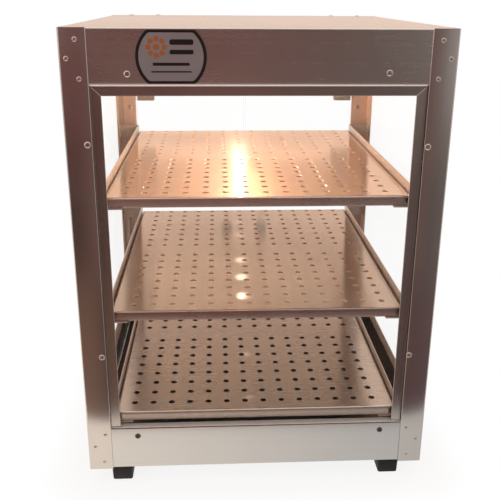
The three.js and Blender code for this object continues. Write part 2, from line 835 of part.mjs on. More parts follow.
// Lamp under the middle of the ceiling: a porcelain holder and a tubular bulb lying along X.
function addLamp() {
  const axis = ceilingUnderside - lampAxisDrop;
  const middle = caseDepth / 2;
  const bulbStart = -bulbLength / 2;
  const shoulder = bulbStart + bulbRadius / 2;
  const tip = bulbLength / 2;
  const roundEnd = Array.from({ length: bendSteps }, (_, k) => {
    const angle = (Math.PI * k) / (2 * bendSteps);
    return [bulbRadius * Math.cos(angle), tip - bulbRadius + bulbRadius * Math.sin(angle)];
  });
  const profile = [
    [0, bulbStart - bulbBaseLength],
    [bulbBaseRadius, bulbStart - bulbBaseLength],
    [bulbBaseRadius, bulbStart],
    [bulbRadius, shoulder],
    ...roundEnd,
    [0, tip],
  ];
  add("lamp_bulb", turned(profile, pinSides).rotateZ(-Math.PI / 2), bulbGlass(), 0, middle, axis);

  const holderEnd = bulbStart - gap;
  const holderStart = holderEnd - holderLength;
  const holderMiddle = (holderStart + holderEnd) / 2;
  const plateTop = lampAxisDrop - gap;
  const barrel = across(regularOutline(holderRadius, pinSides), holderStart, holderEnd);
  const bore = across(
    regularOutline(bulbBaseRadius + gap, pinSides),
    bulbStart - bulbBaseLength - gap,
    holderEnd + overrun,
  );
  const neckHalf = holderNeckWidth / 2;
  const plateHalf = holderPlateWidth / 2;
  const neck = box(holderMiddle - neckHalf, holderMiddle + neckHalf, -neckHalf, neckHalf, 0, plateTop);
  const plate = box(
    holderMiddle - plateHalf,
    holderMiddle + plateHalf,
    -plateHalf,
    plateHalf,
    plateTop - holderPlateWall,
    plateTop,
  );
  add("lamp_holder", cutBy(joined(barrel, neck, plate), bore), porcelain(), 0, middle, axis);
}

// Heating element: a tube bent to and fro in one plane, swept ring by ring along its middle line.
function elementPath() {
  const points = [];
  const elementPitch = (caseWidth - 2 * elementSideInset) / (elementLegs - 1);
  const elementLength = caseDepth - 2 * elementEndInset;
  const turnRadius = elementPitch / 2;
  const straight = elementLength / 2 - turnRadius;
  for (let leg = 0; leg < elementLegs; leg += 1) {
    const x = (leg - (elementLegs - 1) / 2) * elementPitch;
    const forward = leg % 2 === 0 ? -1 : 1;
    points.push([x, -forward * straight]);
    if (leg === elementLegs - 1) {
      points.push([x, forward * straight]);
      break;
    }
    for (let k = 0; k <= bendSteps; k += 1) {
      const angle = (Math.PI * k) / bendSteps;
      points.push([
        x + turnRadius - turnRadius * Math.cos(angle),
        forward * (straight + turnRadius * Math.sin(angle)),
      ]);
    }
  }
  return points.filter(([x, y], i) => i === 0 || x !== points[i - 1][0] || y !== points[i - 1][1]);
}

function sweptTube(path, radius, tubeSides) {
  const positions = [];
  const index = [];
  path.forEach(([x, y], i) => {
    const before = path[i - 1] ?? path[i];
    const after = path[i + 1] ?? path[i];
    const along = new THREE.Vector2(after[0] - before[0], after[1] - before[1]).normalize();
    for (let k = 0; k < tubeSides; k += 1) {
      const angle = (2 * Math.PI * k) / tubeSides;
      const out = radius * Math.cos(angle);
      positions.push(x - along.y * out, y + along.x * out, radius * Math.sin(angle));
    }
  });
  const last = path.length - 1;
  for (let i = 0; i < last; i += 1) {
    for (let k = 0; k < tubeSides; k += 1) {
      const a = i * tubeSides + k;
      const b = i * tubeSides + ((k + 1) % tubeSides);
      index.push(a, b, a + tubeSides, b, b + tubeSides, a + tubeSides);
    }
  }
  for (let k = 1; k < tubeSides - 1; k += 1) {
    index.push(0, k + 1, k);
    index.push(last * tubeSides, last * tubeSides + k, last * tubeSides + k + 1);
  }
  const geometry = new THREE.BufferGeometry();
  geometry.setAttribute("position", new THREE.Float32BufferAttribute(positions, 3));
  geometry.setIndex(index);
  return geometry;
}

function addHeater() {
  const middle = caseDepth / 2;
  const floorTop = panelWall + gap + panelWall;
  const shieldTop = floorTop + gap + shieldHeight;
  const elementHeight = shieldTop + elementRise;
  const half = halfWidth - shieldInset;
  const outline = foldedSheet(
    [
      [half, floorTop + gap],
      [half, shieldTop],
      [-half, shieldTop],
      [-half, floorTop + gap],
    ],
    panelWall,
  );
  add(
    "heat_shield",
    rearwards(outline, shieldInset, caseDepth - shieldInset),
    insideMetal(),
  );

  add("heating_element", sweptTube(elementPath(), elementRadius, elementSides), elementMetal(), 0, middle, elementHeight);

  const bracketBottom = shieldTop + gap;
  const bracketTop = elementHeight - elementRadius - gap;
  const bracketHalf = halfWidth - elementSideInset + bracketOverhang;
  const bracketOutline = foldedSheet(
    [
      [bracketFoot, bracketBottom],
      [0, bracketBottom],
      [0, bracketTop],
      [bracketFoot, bracketTop],
    ].reverse(),
    bracketWall,
  );
  const reach = middle - elementEndInset - bracketInset;
  for (const [place, sign] of [
    ["front", -1],
    ["rear", 1],
  ]) {
    const outlineHere = bracketOutline.map(([y, z]) => [-sign * y, z]);
    const bar = across(outlineHere, -bracketHalf, bracketHalf);
    add(`${place}_element_bracket`, bar, insideMetal(), 0, middle + sign * reach, 0);
  }
}

// Cover of the wires that run from the control box down to the base, in the corner of the rear left post.
function addWiringCover() {
  const x0 = -panelSide + gap;
  const rear = caseDepth - postWall - gap;
  add(
    "wiring_cover",
    box(
      x0,
      x0 + wiringCoverWidth,
      rear - wiringCoverWidth,
      rear,
      sidePanelHeight + gap,
      controlBottom - gap,
    ),
    railMetal(),
  );
}

// Four block feet, narrower at the counter.
function addFeet() {
  const top = footWidth / 2;
  const bottom = top - footTaper;
  for (const [place, y] of [
    ["front", footInset],
    ["rear", caseDepth - footInset],
  ]) {
    for (const [side, sign] of sides) {
      const corner = Math.SQRT2;
      const foot = new THREE.CylinderGeometry(top * corner, bottom * corner, footHeight - gap, 4);
      foot.rotateY(Math.PI / 4).rotateX(Math.PI / 2);
      add(`${place}_${side}_foot`, foot, blackRubber(), sign * (halfWidth - footSideInset), y, -(footHeight + gap) / 2);
    }
  }
}

// Badge: a round plate with a flat top and a flat bottom.
function addBadge() {
  const cut = Math.asin(badgeHalfHeight / badgeRadius);
  const arc = (from, to) =>
    Array.from({ length: roundSides / 2 }, (_, k) => {
      const angle = from + ((to - from) * k) / (roundSides / 2 - 1);
      return [badgeRadius * Math.cos(angle), badgeRadius * Math.sin(angle)];
    });
  const outline = [...arc(-cut, cut), ...arc(Math.PI - cut, Math.PI + cut)];
  const back = panelFront - gap;
  add("badge_plate", rearwards(outline, back - badgeWall, back), badgeFace(), badgeFromPost - openingHalf, 0, headerBottom + badgeRise);
}

addPosts();
addRoof();
addSideHeaders();
addControlPanel();
addCeiling();
addBase();
addFrontGlass();
addSideGlass();
addShelves();
addDoors();
addCatch();
addThermostat();
addSwitch();
addPilotLight();
addInlet();
addLamp();
addHeater();
addWiringCover();
addFeet();
addBadge();

export default heatedDisplayCase;
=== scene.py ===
# %% [markdown]
# A countertop heated display case. Folded angle posts stand at the corners, folded panels close the top and
# the base, glass closes the sides, and three perforated shelves lie on angle rails under a warm lamp.
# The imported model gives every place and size. This lesson dresses it: finer sheets with rolled edges,
# punched shelves, fasteners, glass, lamp, rear controls, and the brushed finishes that make it look real.

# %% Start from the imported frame
import math

import bpy
import numpy as np
from mathutils import Matrix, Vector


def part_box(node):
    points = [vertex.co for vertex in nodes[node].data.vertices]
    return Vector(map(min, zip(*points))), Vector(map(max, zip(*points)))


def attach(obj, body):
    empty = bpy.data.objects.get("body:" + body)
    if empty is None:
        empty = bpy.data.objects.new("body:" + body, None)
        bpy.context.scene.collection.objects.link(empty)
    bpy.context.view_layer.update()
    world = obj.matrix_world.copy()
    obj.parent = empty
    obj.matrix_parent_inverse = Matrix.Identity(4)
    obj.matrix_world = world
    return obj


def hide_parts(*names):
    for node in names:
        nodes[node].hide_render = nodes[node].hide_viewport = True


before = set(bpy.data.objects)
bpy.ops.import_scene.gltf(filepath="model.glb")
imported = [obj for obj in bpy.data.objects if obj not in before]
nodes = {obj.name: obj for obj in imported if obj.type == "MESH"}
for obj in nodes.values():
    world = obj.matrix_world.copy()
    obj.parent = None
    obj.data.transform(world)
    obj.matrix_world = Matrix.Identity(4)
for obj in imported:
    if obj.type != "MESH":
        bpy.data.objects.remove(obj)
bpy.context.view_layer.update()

# %% [markdown]
# All pieces are worked out in millimetres in the case's own frame: x from the middle, y from the front
# plane towards the rear, z from the underside of the body, which stands on its feet. One function carries
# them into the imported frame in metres, so a finished piece's object stays at the origin.

# %% The case's own frame
MM = 0.001
post_low, post_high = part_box("front_left_post")
front_plane = post_low.y
underside = post_low.z
half_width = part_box("front_right_post")[1].x / MM
case_depth = (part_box("rear_left_post")[1].y - front_plane) / MM
body_height = (post_high.z - underside) / MM
foot_height = underside / MM
post_leg = (post_high.x - post_low.x) / MM
opening_half = half_width - post_leg
post_wall = 1.6  # posts, trim and rails
panel_wall = 1.2  # panels and shelves
fold_radius = 2.4
gap = 0.3  # between two pieces that lie against each other
base_top = 76.2  # of the side panels
panel_front = post_wall + gap
panel_rear = case_depth - panel_front
panel_side = half_width - panel_front
header_bottom = body_height - 66.0
control_bottom = body_height - 127.0
fascia_top = 63.5
print("case:", 2 * half_width, case_depth, body_height, "mm, opening", 2 * opening_half)


def to_frame(points):
    """The case's millimetres times one thousandth, moved to the front plane and the underside."""
    return np.asarray(points, float) * MM + np.array([0.0, front_plane, underside])


# %% [markdown]
# The camera stands where the photograph was taken: a little left of the middle, 0.79 m in front of the
# case and 0.62 m above its underside. The photograph is the upper part of a taller picture, so the lens
# axis lies above its centre and a small vertical shift puts the frame there.

# %% Camera
IMAGE_SIDE = 500.0
FOCAL_PIXELS = 683.1
AXIS_ROW = 211.6
CAMERA_PLACE = np.array([-52.0, -792.3, 620.3])
yaw, pitch, roll = (math.radians(a) for a in (2.905, 17.669, 0.359))


def camera_axes(yaw, pitch, roll):
    """Rows are the camera's right, down and forward: level along +Y, then turned by yaw, pitch, roll."""
    level = np.array([[1, 0, 0], [0, 0, -1], [0, 1, 0]], float)
    turn = np.array([[math.cos(yaw), -math.sin(yaw), 0], [math.sin(yaw), math.cos(yaw), 0], [0, 0, 1]])
    tip = np.array([[1, 0, 0], [0, math.cos(pitch), -math.sin(pitch)], [0, math.sin(pitch), math.cos(pitch)]])
    lean = np.array([[math.cos(roll), -math.sin(roll), 0], [math.sin(roll), math.cos(roll), 0], [0, 0, 1]])
    return lean @ tip @ level @ turn


right, down, forward = camera_axes(yaw, pitch, roll)
camera_data = bpy.data.cameras.new("view")
camera_data.sensor_width = 36.0
camera_data.sensor_fit = "HORIZONTAL"
camera_data.lens = FOCAL_PIXELS / IMAGE_SIDE * camera_data.sensor_width
camera_data.shift_y = -(IMAGE_SIDE / 2 - AXIS_ROW) / IMAGE_SIDE
camera = bpy.data.objects.new("view", camera_data)
columns = np.column_stack([right, -down, -forward, to_frame(CAMERA_PLACE)])
camera.matrix_world = Matrix([*columns.tolist(), [0, 0, 0, 1]])
bpy.context.scene.collection.objects.link(camera)
bpy.context.scene.camera = camera
print("lens", round(camera_data.lens, 2), "mm, shift", camera_data.shift_y)

# %% [markdown]
# Shader maths reads better as plain expressions. A small class wraps a node's output, and its operators
# add the Math nodes. Everything else comes from one method that makes any node from its type, its
# settings and the values or links of its sockets.

# %% Shader expressions


class Value:
    """An output socket that can be added, subtracted, multiplied and raised."""

    def __init__(self, tree, socket):
        self.tree = tree
        self.socket = socket

    def _math(self, operation, *values):
        return self.tree.node("Math", dict(enumerate(values)), operation=operation)

    def __add__(self, other):
        return self._math("ADD", self, other)

    def __radd__(self, other):
        return self._math("ADD", other, self)

    def __sub__(self, other):
        return self._math("SUBTRACT", self, other)

    def __rsub__(self, other):
        return self._math("SUBTRACT", other, self)

    def __mul__(self, other):
        return self._math("MULTIPLY", self, other)

    def __rmul__(self, other):
        return self._math("MULTIPLY", other, self)

    def __pow__(self, other):
        return self._math("POWER", self, other)

    def abs(self):
        return self._math("ABSOLUTE", self)

    def smooth(self, low, high):
        """A smooth step from 0 below low to 1 above high."""
        inputs = {"Value": self, "From Min": low, "From Max": high, "To Min": 0.0, "To Max": 1.0}
        return self.tree.node("MapRange", inputs, interpolation_type="SMOOTHSTEP", clamp=True)


class Tree:
    """The node tree of one material or world."""

    def __init__(self, owner):
        owner.use_nodes = True
        self.tree = owner.node_tree
        self.tree.nodes.clear()

    def node(self, kind, inputs=None, output=0, **settings):
        """Makes a node, sets it up, fills its sockets with values or links, and returns one output."""
        made = self.tree.nodes.new("ShaderNode" + kind)
        for key, value in settings.items():
            setattr(made, key, value)
        for key, value in (inputs or {}).items():
            if isinstance(value, Value):
                self.tree.links.new(value.socket, made.inputs[key])
            else:
                made.inputs[key].default_value = value
        return Value(self, made.outputs[output]) if made.outputs else made

    def place(self):
        """The point's own place, in the object's metres."""
        return self.node("TexCoord", output="Object")

    def axes(self, vector):
        """The three numbers of a vector."""
        split = self.node("SeparateXYZ", {0: vector})
        return [Value(self, out) for out in split.socket.node.outputs]

    def mix(self, factor, first, second):
        """A colour mix."""
        return self.node("Mix", {0: factor, 6: first, 7: second}, 2, data_type="RGBA")

    def noise(self, vector, scale, detail=2.0, roughness=0.5):
        """Clouds between 0 and 1, that many to a metre."""
        inputs = {"Vector": vector, "Scale": scale, "Detail": detail, "Roughness": roughness}
        return self.node("TexNoise", inputs)

    def bump(self, strength, distance, height):
        """A normal that leans with the slope of the height."""
        return self.node("Bump", {"Strength": strength, "Distance": distance, "Height": height})

    def spread(self, factor, color, darker, lighter):
        """A colour that varies between its darker and its lighter self."""
        base = np.array(shade(color)[:3])
        return self.mix(factor, (*(base * darker), 1.0), (*np.minimum(base * lighter, 1.0), 1.0))


def shade(color):
    """A screen colour, 0 to 255, as the linear colour that the renderer takes."""
    c = np.asarray(color, float) / 255.0
    linear = np.where(c <= 0.04045, c / 12.92, ((c + 0.055) / 1.055) ** 2.4)
    return (*[float(v) for v in linear], 1.0)


finishes = {}


def material(name, build):
    """Makes a material from the shader that build returns, and keeps it in finishes."""
    made = finishes[name] = bpy.data.materials.new(name)
    tree = Tree(made)
    tree.node("OutputMaterial", {"Surface": build(tree)})


# %% [markdown]
# Most of the case is brushed stainless steel. The grain is a set of long fine scratches along one
# direction: a noise pattern squeezed across the grain and stretched along it. It tilts the surface by a
# few thousandths, spreads the reflections across the grain and varies the roughness. Over it lie broad
# faint clouds from wiping, so no panel has one flat colour.

# %% Brushed steel
GRAIN = {"x": (0.005, 1.0, 1.0), "y": (1.0, 0.005, 1.0), "z": (1.0, 1.0, 0.005)}
grain_of = {}


def brushed_steel(
    name, color, grain, roughness, brushing=0.8, depth=0.03, mark=0.0, metal=1.0, lamp_lit_inside=None, lean=0.0
):
    """Long scratches: noise on coordinates scaled down along the grain. Clouds: noise at hand size.

    brushing spreads the reflections square to the grain. The direction comes from lay_grain. mark adds
    rough patches where hands have wiped. The colour for the inner face is painted lamp light: a warm, light
    tone on a rear panel's inner face. lean is the sine of the angle by which a panel stands out of plumb, so
    that it mirrors what lies lower."""

    def build(tree):
        place = tree.place()
        along = tree.node("VectorMath", {0: place, 1: GRAIN[grain]}, operation="MULTIPLY")
        fine = tree.noise(along, 1900.0)
        coarse = tree.noise(along, 360.0)
        clouds = tree.noise(place, 9.0, 3.0, 0.55)
        streak = (fine - 0.5) * 0.5 + (coarse - 0.5) * 0.5
        tint = tree.spread(streak * 0.55 + (clouds - 0.5) * 0.5 + 0.5, color, 0.88, 1.10)
        # A warmer, lighter colour on the panel's inner face: painted lamp light.
        if lamp_lit_inside:
            outer_face = front_plane + panel_rear * MM
            inner = tree.axes(place)[1].smooth(outer_face - 0.2 * MM, outer_face - 1.0 * MM)
            tint = tree.mix(inner, tint, shade(lamp_lit_inside))
        gloss = streak * 0.05 + (clouds - 0.5) * 0.10 + roughness
        if mark:
            gloss = gloss + tree.noise(place, 30.0, 4.0, 0.6).smooth(0.5, 0.75) * mark
        normal = tree.bump(depth, 0.0004, streak)
        if lean:
            normal = tree.node("VectorMath", {0: normal, 1: (0.0, 0.0, -lean)}, operation="ADD")
            normal = tree.node("VectorMath", {0: normal}, operation="NORMALIZE")
        inputs = {
            "Base Color": tint,
            "Metallic": metal,
            "Roughness": gloss,
            "Anisotropic": brushing,
            "Anisotropic Rotation": 0.0 if grain == "z" else 0.25,
            "Normal": normal,
        }
        return tree.node("BsdfPrincipled", inputs)

    material(name, build)
    grain_of[name] = grain


STEEL = (205, 200, 196)
TRIM_STEEL = (188, 182, 178)
brushed_steel("post_steel", STEEL, "z", 0.23)
brushed_steel("rear_post_steel", STEEL, "z", 0.32, 0.7)
# A warmer, lighter copy of the post steel for the rear posts' inner faces: painted lamp light.
brushed_steel("lamp_lit_post_steel", (222, 194, 178), "z", 0.42, 0.4, metal=0.72)
brushed_steel("header_steel", STEEL, "x", 0.27)
brushed_steel("fascia_steel", (202, 200, 199), "x", 0.21, 0.3, 0.02, lean=0.035)
brushed_steel("side_steel", STEEL, "y", 0.28)
# Its inner face takes a warm, light colour: painted lamp light.
brushed_steel("panel_steel", STEEL, "x", 0.42, 0.0, metal=0.6, lamp_lit_inside=(238, 206, 182))
brushed_steel("trim_x_steel", TRIM_STEEL, "x", 0.26)
brushed_steel("trim_z_steel", TRIM_STEEL, "z", 0.26)
# The top shelf's plate is lighter and warmer than the others: painted lamp light. The middle shelf's plate and
# flanges are darker than the top shelf's: painted shade under the top shelf.
brushed_steel("shelf_steel", (248, 228, 210), "x", 0.205, 1.0, 0.012, 0.02)
brushed_steel("middle_shelf_steel", (216, 202, 188), "x", 0.22, 1.0, 0.012, 0.02)
brushed_steel("rack_steel", (212, 198, 186), "x", 0.27, 0.95, 0.012)
# Hole walls: light and warm on the two upper shelves as painted lamp light, dark on the rack as painted shade.
brushed_steel("punched_steel", (232, 192, 162), "x", 0.6, 0.0, 0.02, metal=0.2)
brushed_steel("rack_hole_steel", (96, 82, 72), "x", 0.55, 0.0, 0.02)
brushed_steel("flange_steel", (204, 186, 178), "x", 0.28)
brushed_steel("rack_flange_steel", (212, 199, 188), "x", 0.28)
brushed_steel("lower_flange_steel", (178, 156, 148), "x", 0.28)
brushed_steel("rail_steel", (206, 190, 178), "y", 0.36, 0.6, metal=0.6)
# A darker, browner steel for the inside of the base: painted shade.
brushed_steel("shaded_base_steel", (124, 104, 93), "x", 0.45, 0.0, 0.04, 0.08)
brushed_steel("inside_steel", STEEL, "x", 0.5, 0.0, 0.06, 0.08, 0.45)
# A warm copy of the inside steel for the ceiling liner over the lamp: painted lamp light.
brushed_steel("lamp_lit_liner_steel", (230, 209, 194), "x", 0.5, 0.0, 0.06, 0.08, 0.45)
print(len(finishes), "brushed finishes")

# %% [markdown]
# Small parts are turned or cast, so they carry no long grain. A fine even noise gives bright hardware its
# slight unevenness, black plastic its spark-eroded skin and rubber its dull bloom.

# %% Plain finishes


def plain_finish(name, color, roughness, metallic=0.0, skin=0.0, scale=900.0, coat=0.0, variety=0.06):
    """One colour varied by clouds, with a fine skin as bump."""

    def build(tree):
        clouds = tree.noise(tree.place(), 26.0, 3.0, 0.55)
        inputs = {
            "Base Color": tree.spread(clouds, color, 1 - variety, 1 + variety),
            "Metallic": metallic,
            "Roughness": (clouds - 0.5) * 0.14 + roughness,
            "Coat Weight": coat,
            "Normal": tree.bump(skin, 0.0003, tree.noise(tree.place(), scale)),
        }
        return tree.node("BsdfPrincipled", inputs)

    material(name, build)


plain_finish("hardware_steel", (214, 206, 198), 0.34, 1.0, 0.03)
plain_finish("fastener_steel", (206, 198, 190), 0.26, 1.0, 0.05)
plain_finish("dull_fastener", (116, 106, 100), 0.4, 1.0, 0.05)
plain_finish("element_sheath", (96, 90, 86), 0.48, 1.0, 0.15, 500.0, variety=0.2)
plain_finish("brass", (196, 156, 88), 0.28, 1.0, 0.04)
plain_finish("porcelain", (234, 229, 219), 0.22, 0.0, 0.02, 300.0, 0.4)
plain_finish("black_plastic", (27, 27, 28), 0.46, 0.0, 0.12, 1500.0)
plain_finish("grey_mark", (215, 214, 210), 0.5)
plain_finish("foot_rubber", (24, 24, 25), 0.7, 0.0, 0.2)
plain_finish("badge_face", (150, 143, 146), 0.42, 0.3, 0.05, 1200.0)
plain_finish("badge_black", (20, 17, 18), 0.42, 0.0, 0.03)
plain_finish("badge_orange", (176, 98, 46), 0.45, 0.1, 0.03)
print(len(finishes), "finishes so far")

# %% [markdown]
# Clear glass shows mostly what is behind it, with a faint reflection that grows towards grazing angles.
# Alpha does both: a few hundredths face on, more where Layer Weight says that the surface turns away.
# The bulb adds a warm glow, and its filament is a bright thin coil.

# %% Glass and lamp finishes


def clear_glass_finish(name, color, face_on, grazing, roughness=0.03, glow=0.0):
    """Alpha = grazing * facing^3 + a faint film + face_on, so that the pane's edges show most."""

    def build(tree):
        turn = tree.node("LayerWeight", {"Blend": 0.35}, "Facing")
        film = tree.noise(tree.place(), 14.0, 3.0, 0.6)
        inputs = {
            "Base Color": shade(color),
            "Roughness": film * 0.04 + roughness,
            "Alpha": turn**3.0 * grazing + film * 0.006 + face_on,
        }
        if glow:
            inputs |= {"Emission Color": shade(color), "Emission Strength": glow}
        return tree.node("BsdfPrincipled", inputs)

    material(name, build)


def glowing(name, color, strength):
    """A plain colour that gives off its own light."""
    inputs = {"Base Color": shade(color), "Emission Color": shade(color), "Emission Strength": strength}
    material(name, lambda tree: tree.node("BsdfPrincipled", inputs))


clear_glass_finish("clear_glass", (250, 253, 252), 0.004, 0.12)
clear_glass_finish("glass_edge", (214, 222, 218), 0.12, 0.2, 0.2)
clear_glass_finish("bulb_glass", (255, 214, 150), 0.25, 0.4, 0.05, 1.6)
glowing("filament", (255, 190, 110), 30.0)
glowing("amber_lens", (214, 84, 30), 0.5)
print(len(finishes), "finishes in all")

# %% [markdown]
# Every piece is a set of points and faces. The helpers below stack shapes into one, put them into a mesh
# with from_pydata and hand the piece to its body, its finish and the nodes that it stands for.

# %% Shapes and pieces


def stack(*shapes):
    """Several (points, faces) shapes as one: later faces count on from the earlier points."""
    points, faces, start = [], [], 0
    for shape_points, shape_faces in shapes:
        points.append(np.asarray(shape_points, float))
        faces.extend([tuple(i + start for i in face) for face in shape_faces])
        start += len(shape_points)
    return np.vstack(points), faces


def move(shape, x, y, z):
    """Every point plus one step."""
    return shape[0] + np.array([x, y, z]), shape[1]


def turned_over(faces):
    """The same faces in the opposite direction, so that they point the other way."""
    return [tuple(reversed(face)) for face in faces]


def mirrored(shape, axis=0):
    """The twin across the middle of an axis, with its faces turned to point outwards again."""
    points = np.array(shape[0], float)
    points[:, axis] *= -1.0
    return points, turned_over(shape[1])


FAR_AWAY = 900.0


def lay_grain(mesh, finish, points):
    """Sets the direction that brushing spreads reflections in.

    A surface's tangent circles the middle of its texture space. With that middle placed very far away, the
    circle is a straight line over the whole piece: along x, along y, or level round the fold of a post. A
    post's line slants to the side that no part of its own fold faces."""
    if finish in grain_of:
        slant = -math.copysign(1.0, points[:, 0].mean() * (points[:, 1].mean() - case_depth / 2))
        x, y = {"x": (1.0, -0.02), "y": (0.02, 1.0), "z": (1.0, slant)}[grain_of[finish]]
        mesh.use_auto_texspace = False
        mesh.texspace_location = (-y * FAR_AWAY, x * FAR_AWAY, 0.0)
        mesh.texspace_size = (1.0, 1.0, 1.0)


def piece(name, shape, finish, stands_for=(), body="case", sharp=35.0):
    """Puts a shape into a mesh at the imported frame's place, smooth except past the sharp angle."""
    mesh = bpy.data.meshes.new(name)
    mesh.from_pydata(to_frame(shape[0]).tolist(), [], shape[1])
    mesh.update()
    mesh.validate()
    mesh.polygons.foreach_set("use_smooth", np.ones(len(mesh.polygons), bool))
    mesh.set_sharp_from_angle(angle=math.radians(sharp))
    mesh.materials.append(finishes[finish])
    lay_grain(mesh, finish, shape[0])
    made = bpy.data.objects.new(name, mesh)
    bpy.context.scene.collection.objects.link(made)
    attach(made, body)
    if stands_for:
        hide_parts(*stands_for)
    print(name, len(mesh.polygons), "faces on", body)
    return made


def pair(name, shape, finish, node):
    """A shape worked out for the right side and its twin on the left. The names leave the side open."""
    twins = {"right": shape, "left": mirrored(shape)}
    return [
        piece(name.format(side), twin, finish, [node.format(side)]) for side, twin in twins.items()
    ]


def finish_faces(made, finish, chosen):
    """Gives the faces that are chosen, by one truth value each, a finish of their own."""
    index = np.zeros(len(made.data.polygons), np.int32)
    made.data.polygons.foreach_get("material_index", index)
    made.data.materials.append(finishes[finish])
    index[chosen] = len(made.data.materials) - 1
    made.data.polygons.foreach_set("material_index", index)


def face_normals(made):
    """One row of three numbers per face."""
    normals = np.empty(3 * len(made.data.polygons), np.float32)
    made.data.polygons.foreach_get("normal", normals)
    return normals.reshape(-1, 3)


def facing_up(made):
    """One truth value per face: its normal's third number is over 0.7."""
    return face_normals(made)[:, 2] > 0.7


def dress(finish, *names):
    """A CAD node whose shape is right keeps it and takes a finish."""
    for name in names:
        node = nodes[name]
        node.data.materials.clear()
        node.data.materials.append(finishes[finish])


# %% [markdown]
# Grids are the base of the curved shapes. A grid of rows and columns of points gets one four-sided face
# per cell, and it closes round its columns.

# %% Grids, turned shapes and tubes


def grid_faces(rows, columns):
    """Face (i, j) joins points i, j and i + 1, j + 1. The last column joins the first."""
    i, j = np.meshgrid(np.arange(rows - 1), np.arange(columns), indexing="ij")
    k = (j + 1) % columns
    faces = np.stack([i * columns + j, i * columns + k, (i + 1) * columns + k, (i + 1) * columns + j], -1)
    return faces.reshape(-1, 4).tolist()


def rings_shape(rings):
    """rings has the shape (rows, columns, 3) and runs round anticlockwise seen from its last ring."""
    rows, columns, _ = rings.shape
    caps = [list(range(columns))[::-1], list(range((rows - 1) * columns, rows * columns))]
    return rings.reshape(-1, 3), grid_faces(rows, columns) + caps


def round_angles(sides):
    """Equal steps round a full circle."""
    return np.linspace(0, 2 * math.pi, sides, endpoint=False)


def turned(profile, sides, along, swell=0.0):
    """Revolves (radius, height) pairs: x = r cos a, y = r sin a, z = h. Then z is laid along x or y."""
    profile = np.asarray(profile, float)
    angle = round_angles(sides)
    radius = profile[:, :1] + swell
    x, y = radius * np.cos(angle), radius * np.sin(angle)
    h = np.repeat(profile[:, 1:], sides, axis=1)
    return rings_shape(np.stack((x, h, -y) if along == "y" else (h, x, y), -1))


def tube(path, radius, sides):
    """A round tube: p + r (cos a s + sin a o), where s lies to the left of the path and o is over it."""
    path = np.asarray(path, float)
    ahead = np.gradient(path, axis=0)
    ahead /= np.linalg.norm(ahead, axis=1, keepdims=True)
    up = np.where(np.abs(ahead[:, 2:]) > 0.9, [[1.0, 0.0, 0.0]], [[0.0, 0.0, 1.0]])
    side = np.cross(up, ahead)
    side /= np.linalg.norm(side, axis=1, keepdims=True)
    over = np.cross(ahead, side)
    angle = round_angles(sides)[None, :, None]
    rings = path[:, None] + radius * (np.cos(angle) * side[:, None] + np.sin(angle) * over[:, None])
    return rings_shape(rings)


# %% [markdown]
# Folded sheet is what the case is made of. Its section follows one face of the sheet round each bend, a
# quarter circle at a time, and comes back along the other face. The cut ends are slightly rounded, which
# is what catches the thin bright lines along every edge in the photograph.

# %% Folded sheets
BEND_STEPS = 7


def arc(centre, radius, start, stop, steps):
    """Points on a circle from one angle to another."""
    angle = np.linspace(start, stop, steps)
    return np.stack([centre[0] + radius * np.cos(angle), centre[1] + radius * np.sin(angle)], -1)


def fold_section(path, wall, radius=fold_radius):
    """The section of a sheet whose wall lies to the left of its path, with bends of one outside radius."""
    path = np.asarray(path, float)
    ahead = np.diff(path, axis=0)
    ahead /= np.linalg.norm(ahead, axis=1, keepdims=True)
    left = np.stack([-ahead[:, 1], ahead[:, 0]], -1)
    near, far = [path[:1]], [path[:1] + left[:1] * wall]
    for corner, before, after, out in zip(path[1:-1], ahead[:-1], ahead[1:], left[:-1]):
        turn = math.atan2(before[0] * after[1] - before[1] * after[0], before @ after)
        side = math.copysign(1.0, turn)
        bend = radius if side > 0 else radius - wall
        centre = corner - before * bend * math.tan(abs(turn) / 2) + side * out * bend
        first = math.atan2(-side * out[1], -side * out[0])
        near.append(arc(centre, bend, first, first + turn, BEND_STEPS))
        far.append(arc(centre, bend - side * wall, first, first + turn, BEND_STEPS))
    near.append(path[-1:])
    far.append(path[-1:] + left[-1:] * wall)
    near, far = np.vstack(near), np.vstack(far)
    rim = wall * 0.49
    start_rim = rounded_end(far[0], near[0], -ahead[0], rim)
    end_rim = rounded_end(near[-1], far[-1], ahead[-1], rim)
    near[0] += ahead[0] * rim
    far[0] += ahead[0] * rim
    near[-1] -= ahead[-1] * rim
    far[-1] -= ahead[-1] * rim
    return np.vstack([near, end_rim, far[::-1], start_rim])


def rounded_end(first, last, out, rim):
    """The cut end of a sheet from its first face to its last: two quarter circles joined by a flat."""
    across = (last - first) / np.linalg.norm(last - first)
    low = first + across * rim - out * rim
    high = last - across * rim - out * rim
    angle = np.linspace(0, math.pi / 2, 5)[:, None]
    start = low - across * rim * np.cos(angle) + out * rim * np.sin(angle)
    stop = high + across * rim * np.sin(angle) + out * rim * np.cos(angle)
    return np.vstack([start[1:], stop[:-1]])


def laid(rings, axis):
    """Rings of (u, v, t) points with t along the axis: (t, u, v) for x, (u, t, v) for y, (u, v, t) for z."""
    u, v, t = np.moveaxis(rings, -1, 0)
    points, faces = rings_shape(np.stack({"x": (t, u, v), "y": (u, t, v), "z": (u, v, t)}[axis], -1))
    return points, turned_over(faces) if axis == "y" else faces


def level_ring(outline, level):
    """A flat outline with the same third number at every point."""
    return np.column_stack([outline, np.full(len(outline), level)])


def carried(section, axis, low, high):
    """A closed section carried straight along an axis, anticlockwise whichever way it came."""
    section = np.asarray(section, float)
    area = np.sum(section[:, 0] * np.roll(section[:, 1], -1) - section[:, 1] * np.roll(section[:, 0], -1))
    section = section[::-1] if area < 0 else section
    return laid(np.stack([level_ring(section, level) for level in (low, high)]), axis)


